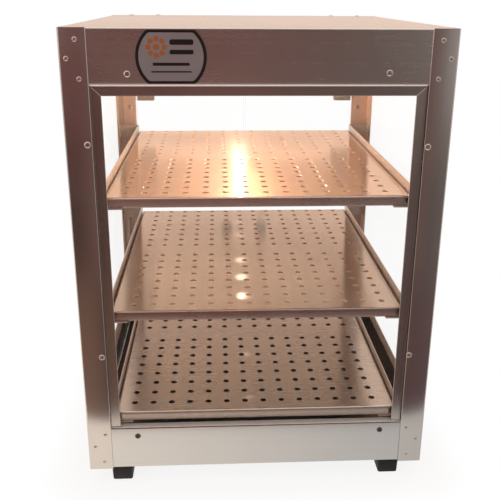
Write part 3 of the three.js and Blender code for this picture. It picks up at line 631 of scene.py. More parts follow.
def sheet_shape(path, wall, axis, low, high, radius=fold_radius):
    """A folded sheet: its section carried along its bends."""
    return carried(fold_section(path, wall, radius), axis, low, high)


# %% [markdown]
# Plates, blocks and panes are flat outlines with a thickness and a small arris. The outline is moved
# inwards along its corners' bisectors for the arris.

# %% Plates with an arris


def inset(outline, distance):
    """Every corner moves inwards so that both its edges move by the same distance."""
    outline = np.asarray(outline, float)
    before = outline - np.roll(outline, 1, 0)
    after = np.roll(outline, -1, 0) - outline
    n1 = np.stack([-before[:, 1], before[:, 0]], -1) / np.linalg.norm(before, axis=1, keepdims=True)
    n2 = np.stack([-after[:, 1], after[:, 0]], -1) / np.linalg.norm(after, axis=1, keepdims=True)
    middle = n1 + n2
    middle /= np.sum(middle * n1, axis=1, keepdims=True)
    return outline + middle * distance


def rounded_box(width, height, radius, steps, x=0.0, y=0.0):
    """A rectangle with quarter-circle corners, anticlockwise."""
    w, h = width / 2 - radius, height / 2 - radius
    quarter = math.pi / 2
    corners = [((w, h), 0), ((-w, h), 1), ((-w, -h), 2), ((w, -h), 3)]
    parts = [arc((cx + x, cy + y), radius, k * quarter, (k + 1) * quarter, steps) for (cx, cy), k in corners]
    return np.vstack(parts)


def circle(radius, sides):
    """x = r cos a, y = r sin a."""
    angle = round_angles(sides)
    return np.stack([radius * np.cos(angle), radius * np.sin(angle)], -1)


def slab(outline, axis, low, high, arris):
    """Four rings: inset, full, full, inset, with flat caps. The axis is the slab's thickness."""
    outline = np.asarray(outline, float)
    inner = inset(outline, arris)
    rings = [(inner, low), (outline, low + arris), (outline, high - arris), (inner, high)]
    return laid(np.stack([level_ring(flat, level) for flat, level in rings]), axis)


# %% [markdown]
# The corner posts are angles folded from 1.6 mm sheet, standing outside all the panels. The rear posts'
# inner faces, which are seen through the glass, get a warmer, lighter finish of their own: painted lamp light.

# %% Posts


def post_path(place):
    """The bends of the right post of a pair, seen from above."""
    path = [(opening_half, 0.0), (half_width, 0.0), (half_width, post_leg)]
    return [(x, case_depth - y) for x, y in path[::-1]] if place == "rear" else path


for place, finish in (("front", "post_steel"), ("rear", "rear_post_steel")):
    post = carried(fold_section(post_path(place), post_wall), "z", 0.0, body_height)
    made_pair = pair(place + "_{}_post_sheet", post, finish, place + "_{}_post")
    if place == "rear":
        for made, outwards in zip(made_pair, (1.0, -1.0)):
            towards_rear, across = face_normals(made)[:, 1], face_normals(made)[:, 0]
            # Faces that look into the case take the lit copy: painted lamp light.
            finish_faces(made, "lamp_lit_post_steel", towards_rear + outwards * across < -0.2)

# %% [markdown]
# The roof and the front header are one sheet. It hooks down at the rear, bends over the front and ends in
# a rolled lower edge, the bright line above the front glass. The hem is drawn taller than one fold, as the
# photograph shows it.

# %% Roof, header and side headers
HEM_STRETCH = 2.5
ROOF_DROP = 12.0
SIDE_LIP = 10.0
roof_rear = panel_rear - panel_wall - gap
roof_path = [
    (roof_rear, body_height - ROOF_DROP),
    (roof_rear, body_height),
    (panel_front, body_height),
    (panel_front, header_bottom),
    (panel_front + fold_radius, header_bottom),
]
roof_section = fold_section(roof_path, panel_wall)
height = roof_section[:, 1] - header_bottom
above_hem = np.maximum(height, HEM_STRETCH * fold_radius)
roof_section[:, 1] = header_bottom + np.where(height < fold_radius, height * HEM_STRETCH, above_hem)
roof = carried(roof_section, "x", -panel_side, panel_side)
piece("roof_and_header_sheet", roof, "header_steel", ["roof_and_header"])

header_top = body_height - panel_wall - gap
header_path = [
    (panel_side - SIDE_LIP, header_bottom),
    (panel_side, header_bottom),
    (panel_side, header_top),
    (panel_side - SIDE_LIP, header_top),
]
header_ends = panel_front + fold_radius + gap, panel_rear - 2 * panel_wall - 1.0
side_header = sheet_shape(header_path, panel_wall, "y", *header_ends)
pair("{}_header_sheet", side_header, "side_steel", "{}_header")

# %% [markdown]
# The base has two fascias and two side panels. Their upper lips carry the glass. The faces that point
# upwards lie inside the case and are dull. The side panels' upward faces, the base floor, the heat shield
# and the element brackets are painted darker and browner: painted shade.

# %% Base
FASCIA_LIP = 10.1
FASCIA_FOOT = 40.0
fascia_half = panel_side - panel_wall - gap
fascia_path = [
    (panel_front + FASCIA_LIP, fascia_top),
    (panel_front, fascia_top),
    (panel_front, 0.0),
    (panel_front + FASCIA_FOOT, 0.0),
]
rear_path = [(case_depth - y, z) for y, z in fascia_path[::-1]]
for place, path in (("front", fascia_path), ("rear", rear_path)):
    fascia = sheet_shape(path, panel_wall, "x", -fascia_half, fascia_half)
    made = piece(f"{place}_fascia_sheet", fascia, "fascia_steel", [f"{place}_fascia"])
    if place == "front":
        finish_faces(made, "inside_steel", facing_up(made))

base_path = [(panel_side, 0.0), (panel_side, base_top), (panel_side - SIDE_LIP, base_top)]
side_base = sheet_shape(base_path, panel_wall, "y", panel_front, panel_rear)
# The side panels' upward faces and the base's floor, heat shield and brackets take the darker steel: painted
# shade.
for made in pair("{}_base_sheet", side_base, "side_steel", "{}_base_panel"):
    finish_faces(made, "shaded_base_steel", facing_up(made))
dress("shaded_base_steel", "base_floor", "heat_shield", "front_element_bracket", "rear_element_bracket")
# The ceiling liner takes the warm copy: painted lamp light.
dress("lamp_lit_liner_steel", "ceiling_liner")
dress("panel_steel", "rear_control_panel")

# %% [markdown]
# The front glass is held by flat strips, mitred at the top corners.

# %% Trim
TRIM_TUCK = 19.0  # behind the posts and the header
TRIM_ARRIS = 0.35
MITRE_GAP = 0.15
trim_front = panel_front + fold_radius + gap
trim_back = trim_front + post_wall
trim_low = fascia_top + gap
inner_x, outer_x = opening_half - 12.7, opening_half + TRIM_TUCK
inner_z, outer_z = header_bottom - 11.0, header_bottom + TRIM_TUCK
stile = [(inner_x, trim_low), (outer_x, trim_low)]
stile += [(outer_x, outer_z - MITRE_GAP), (inner_x, inner_z - MITRE_GAP)]
top_rail = [
    (-inner_x + MITRE_GAP, inner_z),
    (inner_x - MITRE_GAP, inner_z),
    (outer_x - MITRE_GAP, outer_z),
    (-outer_x + MITRE_GAP, outer_z),
]
side_trim = slab(stile, "y", trim_front, trim_back, TRIM_ARRIS)
pair("{}_trim_strip", side_trim, "trim_z_steel", "{}_trim")
top_trim = slab(top_rail, "y", trim_front, trim_back, TRIM_ARRIS)
piece("top_trim_strip", top_trim, "trim_x_steel", ["top_trim"])

# %% [markdown]
# The panes are cut glass with ground edges. The edge band is a little greener and less clear.

# %% Panes
GLASS_WALL = 4.0
GLASS_TUCK = 11.0  # behind the trim


def pane(name, outline, axis, low, high, node, body="case"):
    """A glass slab. Its ground edge comes first, in three bands of one face per point of the outline."""
    made = piece(name, slab(outline, axis, low, high, 0.5), "clear_glass", [node], body)
    finish_faces(made, "glass_edge", np.arange(len(made.data.polygons)) < 3 * len(outline))


def cut_glass(width, height, x, z):
    """A pane's outline about its middle, with small round corners."""
    return rounded_box(width, height, 2.0, 4, x, z)


glass_front = trim_back + gap
glass_back = glass_front + GLASS_WALL
front_wide = 2 * (opening_half + GLASS_TUCK)
front_tall = header_bottom + GLASS_TUCK - trim_low
front_outline = cut_glass(front_wide, front_tall, 0.0, trim_low + front_tall / 2)
pane("front_pane", front_outline, "y", glass_front, glass_back, "front_glass")
side_wide = case_depth - 2 * (post_leg - 5.75)
side_low = base_top + gap
side_tall = header_bottom - gap - side_low
side_outline = cut_glass(side_wide, side_tall, case_depth / 2, side_low + side_tall / 2)
pane("right_pane", side_outline, "x", panel_side - GLASS_WALL, panel_side, "right_glass")
pane("left_pane", side_outline, "x", -panel_side, -panel_side + GLASS_WALL, "left_glass")

# %% [markdown]
# A shelf is a plate with 224 punched holes and a flange folded down on each side. Each hole is one cell:
# rings of sixteen points that run from the square cell to the hole's rounded rim, down its wall and back
# out underneath. The cells tile the plate, and plain strips fill the margins. The wall of a hole reaches
# below the sheet, more so on the middle shelf, because the photograph shows the far wall of each hole. The
# holes lie a little left of the plate's middle, and on the middle shelf, laid the other way round, right.

# %% Punched shelves
SHELF_HALF = opening_half - 6.35
SHELF_FRONT = 12.7
SHELF_REAR = case_depth - 12.7
SHELF_FLANGE = 12.7
SHELF_FOLD = 3.0
PITCH = 25.4
HOLE_RADIUS = 4.2
HOLE_RIM = 0.25
HOLE_FLARE = 0.6  # underneath
HOLE_SIDES = 16
HOLE_BANDS = 5  # of faces between the six rings
WALL_BAND = 2
END_ROUND = 0.6  # a flange's rounded upper end, which lies within the plate
COLUMNS, ROWS, GROUP_ROWS = 14, 16, 8
GROUP_GAP = 19.8  # between the two groups of rows
COLUMN_X = -2.6 + (np.arange(COLUMNS) - 6.5) * PITCH
ROW_Y = SHELF_FRONT + 22.4 + np.arange(ROWS) * PITCH + np.where(np.arange(ROWS) < GROUP_ROWS, 0.0, GROUP_GAP)
# Height of the plate's face, depth of the holes, body, and the finishes of plate, flanges and hole walls
# The top shelf's plate finish carries painted lamp light, the middle shelf's plate and flange finishes painted
# shade.
SHELVES = {
    "bottom_rack": (80.6, 1.8, "lower_rack", "rack_steel", "rack_flange_steel", "rack_hole_steel"),
    "middle_shelf": (229.5, 3.2, "centre_shelf", "middle_shelf_steel", "lower_flange_steel", "punched_steel"),
    "top_shelf": (382.3, 2.4, "upper_shelf", "shelf_steel", "flange_steel", "punched_steel"),
}


def square_ring(half, sides):
    """Points on a square's edge at the same angles as a circle's points, the corners among them."""
    angle = np.arange(sides) * 2 * math.pi / sides
    c, s = np.cos(angle), np.sin(angle)
    return np.stack([c, s], -1) * (half / np.maximum(np.abs(c), np.abs(s)))[:, None]


def hole_cells(top, depth):
    """All cells at once: six rings per hole, placed at every column and row, cut off at the rear bend."""
    around = circle(1.0, HOLE_SIDES)
    rings = [
        (square_ring(PITCH / 2, HOLE_SIDES), top),
        (around * (HOLE_RADIUS + HOLE_RIM), top),
        (around * HOLE_RADIUS, top - HOLE_RIM),
        (around * HOLE_RADIUS, top - depth),
        (around * (HOLE_RADIUS + HOLE_FLARE), top - panel_wall),
        (square_ring(PITCH / 2, HOLE_SIDES), top - panel_wall),
    ]
    cell = np.stack([level_ring(flat, z) for flat, z in rings])
    x, y = np.meshgrid(COLUMN_X, ROW_Y, indexing="ij")
    offsets = np.stack([x.ravel(), y.ravel(), np.zeros(x.size)], -1)
    points = (cell.reshape(1, -1, 3) + offsets[:, None]).reshape(-1, 3)
    points[:, 1] = np.minimum(points[:, 1], SHELF_REAR - SHELF_FOLD)
    one = np.array(grid_faces(len(rings), HOLE_SIDES))[:, ::-1]
    faces = one[None] + (np.arange(len(offsets)) * len(rings) * HOLE_SIDES)[:, None, None]
    return points, faces.reshape(-1, 4).tolist()


def margin_strips(top):
    """The plain plate round and between the two groups of holes, as two-sided strips."""
    half = PITCH / 2
    x = [-SHELF_HALF + SHELF_FOLD, COLUMN_X[0] - half, COLUMN_X[-1] + half, SHELF_HALF - SHELF_FOLD]
    y = [SHELF_FRONT + SHELF_FOLD, ROW_Y[0] - half, ROW_Y[GROUP_ROWS - 1] + half]
    y += [ROW_Y[GROUP_ROWS] - half, SHELF_REAR - SHELF_FOLD]
    spans = [(x[0], x[3], y[0], y[1]), (x[0], x[3], y[2], y[3])]
    spans += [(*across, *along) for across in (x[:2], x[2:]) for along in (y[1:3], y[3:])]
    shapes = []
    for x0, x1, y0, y1 in spans:
        for z, face in ((top, (0, 1, 2, 3)), (top - panel_wall, (3, 2, 1, 0))):
            shapes.append((np.array([[x0, y0, z], [x1, y0, z], [x1, y1, z], [x0, y1, z]]), [face]))
    return stack(*shapes)


def flange(top, side):
    """The folded edge: a quarter bend from the plate, then straight down, with a rounded cut end."""
    reach = {"front": SHELF_FRONT, "rear": SHELF_REAR, "left": -SHELF_HALF, "right": SHELF_HALF}[side]
    inwards = 1 if side in ("front", "left") else -1
    path = [(reach + inwards * (SHELF_FOLD + END_ROUND), top), (reach, top), (reach, top - SHELF_FLANGE)]
    if side in ("front", "rear"):
        return sheet_shape(path[::inwards], panel_wall, "x", -SHELF_HALF + gap, SHELF_HALF - gap, SHELF_FOLD)
    ends = SHELF_FRONT + SHELF_FOLD, SHELF_REAR - SHELF_FOLD
    return sheet_shape(path[::inwards], panel_wall, "y", *ends, SHELF_FOLD)


def shelf_shape(top, depth):
    """The plate's faces come first, so their number tells the flanges' faces from them."""
    plate = stack(hole_cells(top, depth), margin_strips(top))
    return stack(plate, *[flange(top, side) for side in ("front", "rear", "left", "right")]), len(plate[1])


for name, (top, depth, body, finish, edge_finish, hole_finish) in SHELVES.items():
    shape, plate_faces = shelf_shape(top, depth)
    if name == "middle_shelf":
        shape = mirrored(shape)
    made = piece(f"{name}_plate", shape, finish, [name], body)
    face = np.arange(len(made.data.polygons))
    in_hole = face < COLUMNS * ROWS * HOLE_BANDS * HOLE_SIDES
    finish_faces(made, edge_finish, face >= plate_faces)
    # The hole walls take their shelf's painted lamp light or painted shade, as listed in SHELVES.
    finish_faces(made, hole_finish, in_hole & (face // HOLE_SIDES % HOLE_BANDS == WALL_BAND))

# %% [markdown]
# Each shelf lies on two angles. Their ends turn out to the posts, where rivets hold them.

# %% Rails
SHELF_PLAY = 1.3  # between a shelf and its rail on each side
RAIL_OUTER = SHELF_HALF + SHELF_PLAY + post_wall
RAIL_LEG = 25.4
RAIL_FOOT = 12.0
RIVET_PROFILE = [(2.6, 0.0), (2.4, 0.6), (1.4, 1.1), (0.5, 1.2)]
rail_front = glass_back + gap


def rail_shape(top):
    """The angle under a shelf's right flange, a foot at each end, and two rivets in each foot."""
    low = top - SHELF_FLANGE - gap - post_wall
    high = low + RAIL_LEG
    path = [(RAIL_OUTER - RAIL_LEG, low), (RAIL_OUTER, low), (RAIL_OUTER, high)]
    shapes = [sheet_shape(path, post_wall, "y", rail_front, SHELF_REAR)]
    foot_low = max(low + fold_radius, base_top + gap)
    rivet = mirrored(turned(RIVET_PROFILE, 16, "x"))
    for start, way in ((rail_front, 1), (SHELF_REAR, -1)):
        path = [(RAIL_OUTER - 1.2, start), (panel_side, start), (panel_side, start + way * RAIL_FOOT)]
        shapes.append(sheet_shape(path[::way], post_wall, "z", foot_low, high))
        for level in (foot_low + 6.0, high - 5.0):
            shapes.append(move(rivet, panel_side - post_wall, start + way * 7.5, level))
    return stack(*shapes)


for name, (top, *_) in SHELVES.items():
    level = name.split("_")[0]
    pair("{}_" + level + "_angle", rail_shape(top), "rail_steel", "{}_" + level + "_rail")

# %% [markdown]
# Pan-head screws and blind rivets hold the sheets together. A head is a height over a disc: a dome that
# falls to the rim, less a cross-shaped recess for a screw or a small pit for a rivet.

# %% Fasteners


def head_shape(radius, height, recess, sides=28, rows=9):
    """z = height (1 - (r / R)^3)^(1/2), minus the recess where it lies. The rim drops square to the sheet."""
    share = np.linspace(1.0, 0.0, rows) ** 0.85
    angle = round_angles(sides)
    r = radius * share[:-1, None] * np.ones(sides)
    x, y = r * np.cos(angle), r * np.sin(angle)
    z = height * np.sqrt(np.clip(1.0 - (r / radius) ** 3, 0, 1)) - recess(x, y, radius)
    rings = np.stack([x, y, z], -1)
    foot = np.stack([x[0], y[0], np.full(sides, -0.05)], -1)[None]
    return rings_shape(np.vstack([foot, rings]))


def cross(x, y, radius):
    """The depth of a cross of two bars: |x| or |y| under 0.2 R, and both under 0.62 R."""
    narrow = np.minimum(np.abs(x), np.abs(y)) < 0.2 * radius
    inside = np.maximum(np.abs(x), np.abs(y)) < 0.62 * radius
    return np.where(narrow & inside, 0.38 * radius, 0.0)


def pit(x, y, radius):
    """The depth of the mandrel's hole in the middle of a blind rivet."""
    return np.where(np.hypot(x, y) < 0.36 * radius, 0.3 * radius, 0.0)


TURNS = {
    "front": [[1, 0, 0], [0, 0, -1], [0, 1, 0]],
    "rear": [[-1, 0, 0], [0, 0, 1], [0, 1, 0]],
    "right": [[0, 0, 1], [1, 0, 0], [0, 1, 0]],
    "left": [[0, 0, -1], [-1, 0, 0], [0, 1, 0]],
    "up": [[1, 0, 0], [0, 1, 0], [0, 0, 1]],
}


def facing(shape, direction, spin):
    """A head that faces +Z, spun about Z and then turned to face -Y, +Y, +X, -X or +Z."""
    c, s = math.cos(spin), math.sin(spin)
    points = shape[0] @ np.array([[c, s, 0], [-s, c, 0], [0, 0, 1]])
    return points @ np.array(TURNS[direction], float).T, shape[1]


def fasteners(name, head, spots, finish="fastener_steel"):
    """Several heads as one piece on the case. A spot is its place, the way it faces and its spin."""
    shapes = [move(facing(head, way, spin), *place) for place, way, spin in spots]
    piece(name, stack(*shapes), finish, sharp=50.0)


SIDES = (-1, 1)
screw_head = head_shape(4.0, 1.6, cross, 40, 12)
rivet_head = head_shape(2.9, 0.95, pit, 18, 7)

post_screws = [((-202.4, 0.0, 451.1), "front", 0.3), ((201.3, 0.0, 446.8), "front", 0.9)]
post_screws += [((-202.2, 0.0, 171.5), "front", 0.6), ((200.0, 0.0, 166.4), "front", 0.1)]
panel_screws = [((-152.9, panel_front, 532.7), "front", 0.5), ((149.7, panel_front, 534.0), "front", 0.2)]
fasteners("front_screws", screw_head, post_screws + panel_screws)
fascia_screws = [((-161.5, panel_front, 50.0), "front", 0.0), ((168.4, panel_front, 50.8), "front", 0.7)]
fasteners("fascia_screws", screw_head, fascia_screws, "dull_fastener")

upper_rivets = [(19.3, 571.2), (8.5, 550.1), (21.6, 527.3)]  # distance from the case's edge, height
lower_rivets = [(24.0, 54.2), (9.5, 35.6), (20.5, 11.1)]
rivet_spots = []
for edge, z in upper_rivets + lower_rivets:
    for side in SIDES:
        x = side * (half_width - edge)
        rivet_spots.append(((x, 0.0, z), "front", 0.0))
        rivet_spots.append(((x, case_depth, z), "rear", 0.0))
for z in (570.0, 549.0, 527.0, 60.0, 34.0, 10.0):
    for y in (15.0, case_depth - 15.0):
        rivet_spots.append(((half_width, y, z), "right", 0.0))
        rivet_spots.append(((-half_width, y, z), "left", 0.0))
fasteners("corner_rivets", rivet_head, rivet_spots)

roof_x = (-196.0, -150.0, 150.0, 196.0)
roof_spots = [((x, case_depth - 16.0, body_height), "up", 0.4 * i) for i, x in enumerate(roof_x)]
fasteners("roof_screws", screw_head, roof_spots)

side_screws = []
for y in (11.0, case_depth - 11.0):
    for z in (150.0, 300.0, 450.0):
        side_screws.append(((half_width, y, z), "right", 0.3))
        side_screws.append(((-half_width, y, z), "left", 0.6))
rear_screws = [((side * 209.0, case_depth, z), "rear", 0.2) for side in SIDES for z in (170.0, 425.0)]
rear_screws += [((side * 185.0, panel_rear, 474.0), "rear", 0.5) for side in SIDES]
rear_screws += [((side * 165.0, panel_rear, 40.0), "rear", 0.5) for side in SIDES]
fasteners("side_and_rear_screws", screw_head, side_screws + rear_screws)
inner_screws = [((side * 208.0, case_depth - post_wall, 423.2), "front", 0.8) for side in SIDES]
fasteners("inner_rear_screws", screw_head, inner_screws, "hardware_steel")

# %% [markdown]
# The feet are black rubber blocks, a little narrower at the counter. Each is a stack of rounded squares.

# %% Feet
FOOT_X, FOOT_Y = 186.0, 22.7
FOOT_SIDE, FOOT_TAPER = 28.4, 1.6


def foot_shape(x, y):
    """Rounded squares whose side shrinks towards the counter, with a small round over at both ends."""
    low = -foot_height
    levels = [(low, -1.6), (low + 0.5, -0.5), (low + 1.5, 0.0), (-1.2, 0.0), (-gap, -0.6)]
    rings = []
    for z, shrink in levels:
        width = FOOT_SIDE + FOOT_TAPER * (z + gap) / (foot_height - gap) + 2 * shrink
        rings.append(level_ring(rounded_box(width, width, 2.2, 6, x, y), z))
    return rings_shape(np.stack(rings))


for place, y in (("front", FOOT_Y), ("rear", case_depth - FOOT_Y)):
    for side, x in (("left", -FOOT_X), ("right", FOOT_X)):
        node = f"{place}_{side}_foot"
        piece(f"{node}_block", foot_shape(x, y), "foot_rubber", [node])

# %% [markdown]
# The badge is a round plate cut flat above and below, with a black border and a silver-grey face. A plain
# ring of dots beside two short bars, and two long bars below them, stand less than 0.1 mm proud of it.

# %% Badge
BADGE_X, BADGE_Z = -102.3, 551.8


def badge_outline(radius, half_height, sides=96):
    """x = R cos a, z = R sin a, held between the two flats."""
    flat = circle(radius, sides)
    limit = math.sqrt(max(radius**2 - half_height**2, 0.0))
    top = np.abs(flat[:, 1]) > half_height
    flat[top, 1] = np.sign(flat[top, 1]) * half_height
    flat[top, 0] = np.clip(flat[top, 0], -limit, limit)
    keep = np.linalg.norm(flat - np.roll(flat, 1, 0), axis=1) > 1e-6
    return flat[keep] + np.array([BADGE_X, BADGE_Z])


badge_back = panel_front - gap


def printed(outline, x=0.0, z=0.0):
    """A thin raised print on the badge's face."""
    place = np.array([BADGE_X + x, BADGE_Z + z])
    return slab(np.asarray(outline) + place, "y", badge_back - 1.22, badge_back - 1.1, 0.04)


plate = slab(badge_outline(40.5, 30.1), "y", badge_back - 1.0, badge_back, 0.25)
piece("badge_border", plate, "badge_black", ["badge_plate"])
face = slab(badge_outline(36.8, 26.9), "y", badge_back - 1.15, badge_back - 0.9, 0.1)
piece("badge_face_plate", face, "badge_face")
RING_X, RING_Z, RING_RADIUS = -16.5, 11.0, 9.2
ring = RING_RADIUS * np.stack([np.cos(round_angles(8)), np.sin(round_angles(8))], -1)
dots = [printed(circle(2.9, 24), RING_X + x, RING_Z + z) for x, z in ring]
middle_dot = printed(circle(3.4, 28), RING_X, RING_Z)
piece("badge_dots", stack(*dots, middle_dot), "badge_orange")
bar_sizes = [(27.0, 6.0, 12.0, 16.5), (27.0, 5.0, 12.0, 5.5), (42.0, 3.4, 0.0, -8.0), (46.0, 1.6, 0.0, -16.5)]
bars = [printed(rounded_box(w, h, h / 3.0, 4), x, z) for w, h, x, z in bar_sizes]
piece("badge_bars", stack(*bars), "badge_black")

# %% [markdown]
# The lamp lies under the middle of the ceiling: a porcelain holder and a clear tubular bulb with its
# glowing filament. A real light under the filament, made with the other lamps, warms the shelves.

# %% Lamp
CEILING = header_bottom + panel_wall + gap
LAMP_Z = CEILING - 23.0
LAMP_Y = case_depth / 2


def bulb_profile():
    """Pairs of radius and distance along the axis: a neck, a cylinder and a half sphere."""
    neck = [(0.5, -37.0), (7.0, -37.0), (7.4, -35.0), (9.0, -33.0), (13.0, -29.0), (14.6, -25.0)]
    neck += [(15.0, -20.0)]
    angle = np.linspace(0, math.pi / 2, 12)[:-1]
    end = np.stack([15.0 * np.cos(angle), 22.0 + 15.0 * np.sin(angle)], -1)
    return np.vstack([neck, end, [[0.4, 36.95]]])


bulb = move(turned(bulb_profile(), 40, "x"), 0.0, LAMP_Y, LAMP_Z)
piece("lamp_envelope", bulb, "bulb_glass", ["lamp_bulb"])
cap_profile = [(0.5, -58.8), (6.0, -58.5), (7.6, -57.0), (7.9, -55.0), (7.9, -37.2), (7.0, -36.8), (0.5, -36.8)]
piece("lamp_cap", move(turned(cap_profile, 32, "x"), 0.0, LAMP_Y, LAMP_Z), "brass")
COIL_RADIUS, COIL_TURNS, COIL_POINTS = 2.2, 14, 280
turn = np.linspace(0, 2 * math.pi * COIL_TURNS, COIL_POINTS)
coil_x = np.linspace(-24.0, -8.0, COIL_POINTS)
coil = np.stack([coil_x, COIL_RADIUS * np.cos(turn) + LAMP_Y, COIL_RADIUS * np.sin(turn) + LAMP_Z], -1)
piece("lamp_filament", tube(coil, 0.45, 6), "filament")
dress("porcelain", "lamp_holder")

# %% [markdown]
# The heater is a tube bent to and fro under the bottom rack, seen through its holes.

# %% Heater
ELEMENT_LEGS = 6
ELEMENT_Z = 32.0


def element_path():
    """Straight legs joined by half circles, worked out leg by leg as whole arrays."""
    pitch = (2 * half_width - 2 * 88.6) / (ELEMENT_LEGS - 1)
    straight = (case_depth - 2 * 63.6) / 2 - pitch / 2
    parts = []
    for leg in range(ELEMENT_LEGS):
        x = (leg - 2.5) * pitch
        way = -1.0 if leg % 2 == 0 else 1.0
        run = np.linspace(-way * straight, way * straight, 12)
        parts.append(np.stack([np.full(12, x), run], -1))
        if leg < ELEMENT_LEGS - 1:
            angle = np.linspace(0, math.pi, 14)[1:-1]
            bend_x = x + pitch / 2 - pitch / 2 * np.cos(angle)
            parts.append(np.stack([bend_x, way * (straight + pitch / 2 * np.sin(angle))], -1))
    return level_ring(np.vstack(parts), ELEMENT_Z) + [0.0, case_depth / 2, 0.0]


element = tube(element_path(), 4.2, 14)
piece("element_tube", element, "element_sheath", ["heating_element"])

# %% [markdown]
# At the rear two glass doors turn on pins in corner clamps. The clamps are blocks with a slot for the
# glass and two set screws, and the knobs are turned.

# %% Doors
PLATE_ROOM = gap + 2.4 + 2 * gap  # for a pivot plate and the play on both sides of it
CLAMP_WEB = 2.2
DOOR_Y = case_depth - 2.3
DOOR_INNER, DOOR_OUTER = 1.5, opening_half - 1.55
PIN_X = opening_half - 9.45
CLAMP_LOW = fascia_top + PLATE_ROOM
CLAMP_HIGH = control_bottom - PLATE_ROOM
DOOR_LOW = CLAMP_LOW + CLAMP_WEB + gap
DOOR_HIGH = CLAMP_HIGH - CLAMP_WEB - gap
KNOB_X = DOOR_INNER + 31.7
KNOB_Z = (fascia_top + control_bottom) / 2 + 12.0
KNOB_PROFILE = [(0.5, -4.1), (7.2, -4.1), (8.0, -3.6), (8.0, -2.3), (3.2, -2.3), (3.2, 2.3), (8.0, 2.3)]
KNOB_PROFILE += [(8.0, 3.2), (7.4, 3.9), (4.6, 5.0), (4.2, 8.5), (5.0, 12.0), (8.2, 15.0), (11.0, 16.8)]
KNOB_PROFILE += [(12.0, 19.0), (11.8, 21.2), (10.6, 23.0), (8.2, 23.8), (0.5, 24.0)]


def clamp_shape():
    """The right door's upper clamp about its pin: two cheeks and a web over the glass, and the pin."""
    outer, inner, tall, face = 6.0, 24.2, 17.9, 6.5
    length, middle = outer + inner, (outer - inner) / 2
    cheek = rounded_box(length, tall, 1.4, 4, middle, -tall / 2)
    web = rounded_box(length - 1.0, 8.0, 0.4, 2, middle, 0.0)
    shapes = [
        slab(cheek, "y", -face, -2.3, 0.5),
        slab(cheek, "y", 2.3, face, 0.5),
        slab(web, "z", -CLAMP_WEB, -0.1, 0.1),
        slab(circle(2.5, 24), "z", -1.0, 3.3, 0.3),
    ]
    set_screw = head_shape(2.4, 0.9, cross, 24, 8)
    for x in (-18.0, -6.0):
        shapes.append(move(facing(set_screw, "rear", 0.4), x, face, -10.0))
        shapes.append(move(facing(set_screw, "front", 0.4), x, -face, -10.0))
    return stack(*shapes)


upper_clamp = clamp_shape()
lower_clamp = mirrored(upper_clamp, 2)
knob = turned(KNOB_PROFILE, 48, "y")
door_middle = (DOOR_INNER + DOOR_OUTER) / 2, (DOOR_LOW + DOOR_HIGH) / 2
for side, sign in (("left", -1.0), ("right", 1.0)):
    body = f"{side}_door"
    for end, clamp, level in (("upper", upper_clamp, CLAMP_HIGH), ("lower", lower_clamp, CLAMP_LOW)):
        corner = move(clamp, PIN_X, DOOR_Y, level)
        corner = mirrored(corner) if side == "left" else corner
        node = f"{side}_{end}_clamp"
        piece(f"{side}_{end}_corner", corner, "hardware_steel", [node], body)
        dress("hardware_steel", f"{side}_{end}_pivot_plate")
    x, z = sign * door_middle[0], door_middle[1]
    outline = cut_glass(DOOR_OUTER - DOOR_INNER, DOOR_HIGH - DOOR_LOW, x, z)
    faces_y = DOOR_Y - GLASS_WALL / 2, DOOR_Y + GLASS_WALL / 2
    pane(f"{side}_door_pane", outline, "y", *faces_y, f"{side}_door_glass", body)
    placed = move(knob, sign * KNOB_X, DOOR_Y, KNOB_Z)
    piece(f"{side}_knob", placed, "hardware_steel", [f"{side}_door_knob"], body)
dress("black_plastic", "door_catch")

# %% [markdown]
# The rear panel carries the dial, the pilot light, the rocker and the power inlet.

# %% Rear controls
DIAL_X, PILOT_X, INLET_X = 132.0, 92.0, -150.0
CONTROL_Z = control_bottom + 64.8
DIAL_SIDES = 144
SCALE_RADIUS = 27.0


def dial_shape():
    """A skirt, then a grip whose radius swells and shrinks round the dial: r = R + a (cos(18 angle) - 1)."""
    profile = [(3.0, -15.5), (3.0, 0.3), (21.8, 0.3), (22.0, 0.8), (22.0, 3.4), (21.2, 4.2), (19.2, 4.6)]
    profile += [(19.0, 5.2), (18.6, 18.0), (17.8, 20.2), (15.8, 21.3), (9.0, 20.6), (0.5, 20.4)]
    profile = np.array(profile)
    on_grip = (profile[:, 1] > 4.9) & (profile[:, 1] < 20.9) & (profile[:, 0] > 12)
    swell = np.where(on_grip, 0.5, 0.0)[:, None] * (np.cos(18 * round_angles(DIAL_SIDES)) - 1.0)
    return turned(profile, DIAL_SIDES, "y", swell)


def on_panel(shape, x):
    """A shape about the panel's face, moved to its place in the row of controls."""
    return move(shape, x, panel_rear, CONTROL_Z)


dial = on_panel(dial_shape(), DIAL_X)
piece("dial", dial, "black_plastic", ["thermostat_knob"], "thermostat_dial")
pointer_outline = rounded_box(2.2, 19.0, 0.9, 4, DIAL_X, CONTROL_Z + 11.0)
pointer = slab(pointer_outline, "y", panel_rear + 20.0, panel_rear + 21.2, 0.3)
piece("dial_pointer", pointer, "grey_mark", body="thermostat_dial")
ticks = []
for k in range(11):
    a = math.radians(90 + 30 * k)
    length = 4.2 if k % 5 == 0 else 2.8
    points, faces = slab(rounded_box(length, 1.0, 0.4, 3), "y", 0.02, 0.16, 0.04)
    c, s = math.cos(a), math.sin(a)
    points = points @ np.array([[c, 0, s], [0, 1, 0], [-s, 0, c]])
    ticks.append(move((points, faces), DIAL_X + SCALE_RADIUS * c, panel_rear, CONTROL_Z + SCALE_RADIUS * s))
piece("dial_ticks", stack(*ticks), "badge_black")
dress("black_plastic", "thermostat", "switch_housing", "power_rocker", "power_inlet")

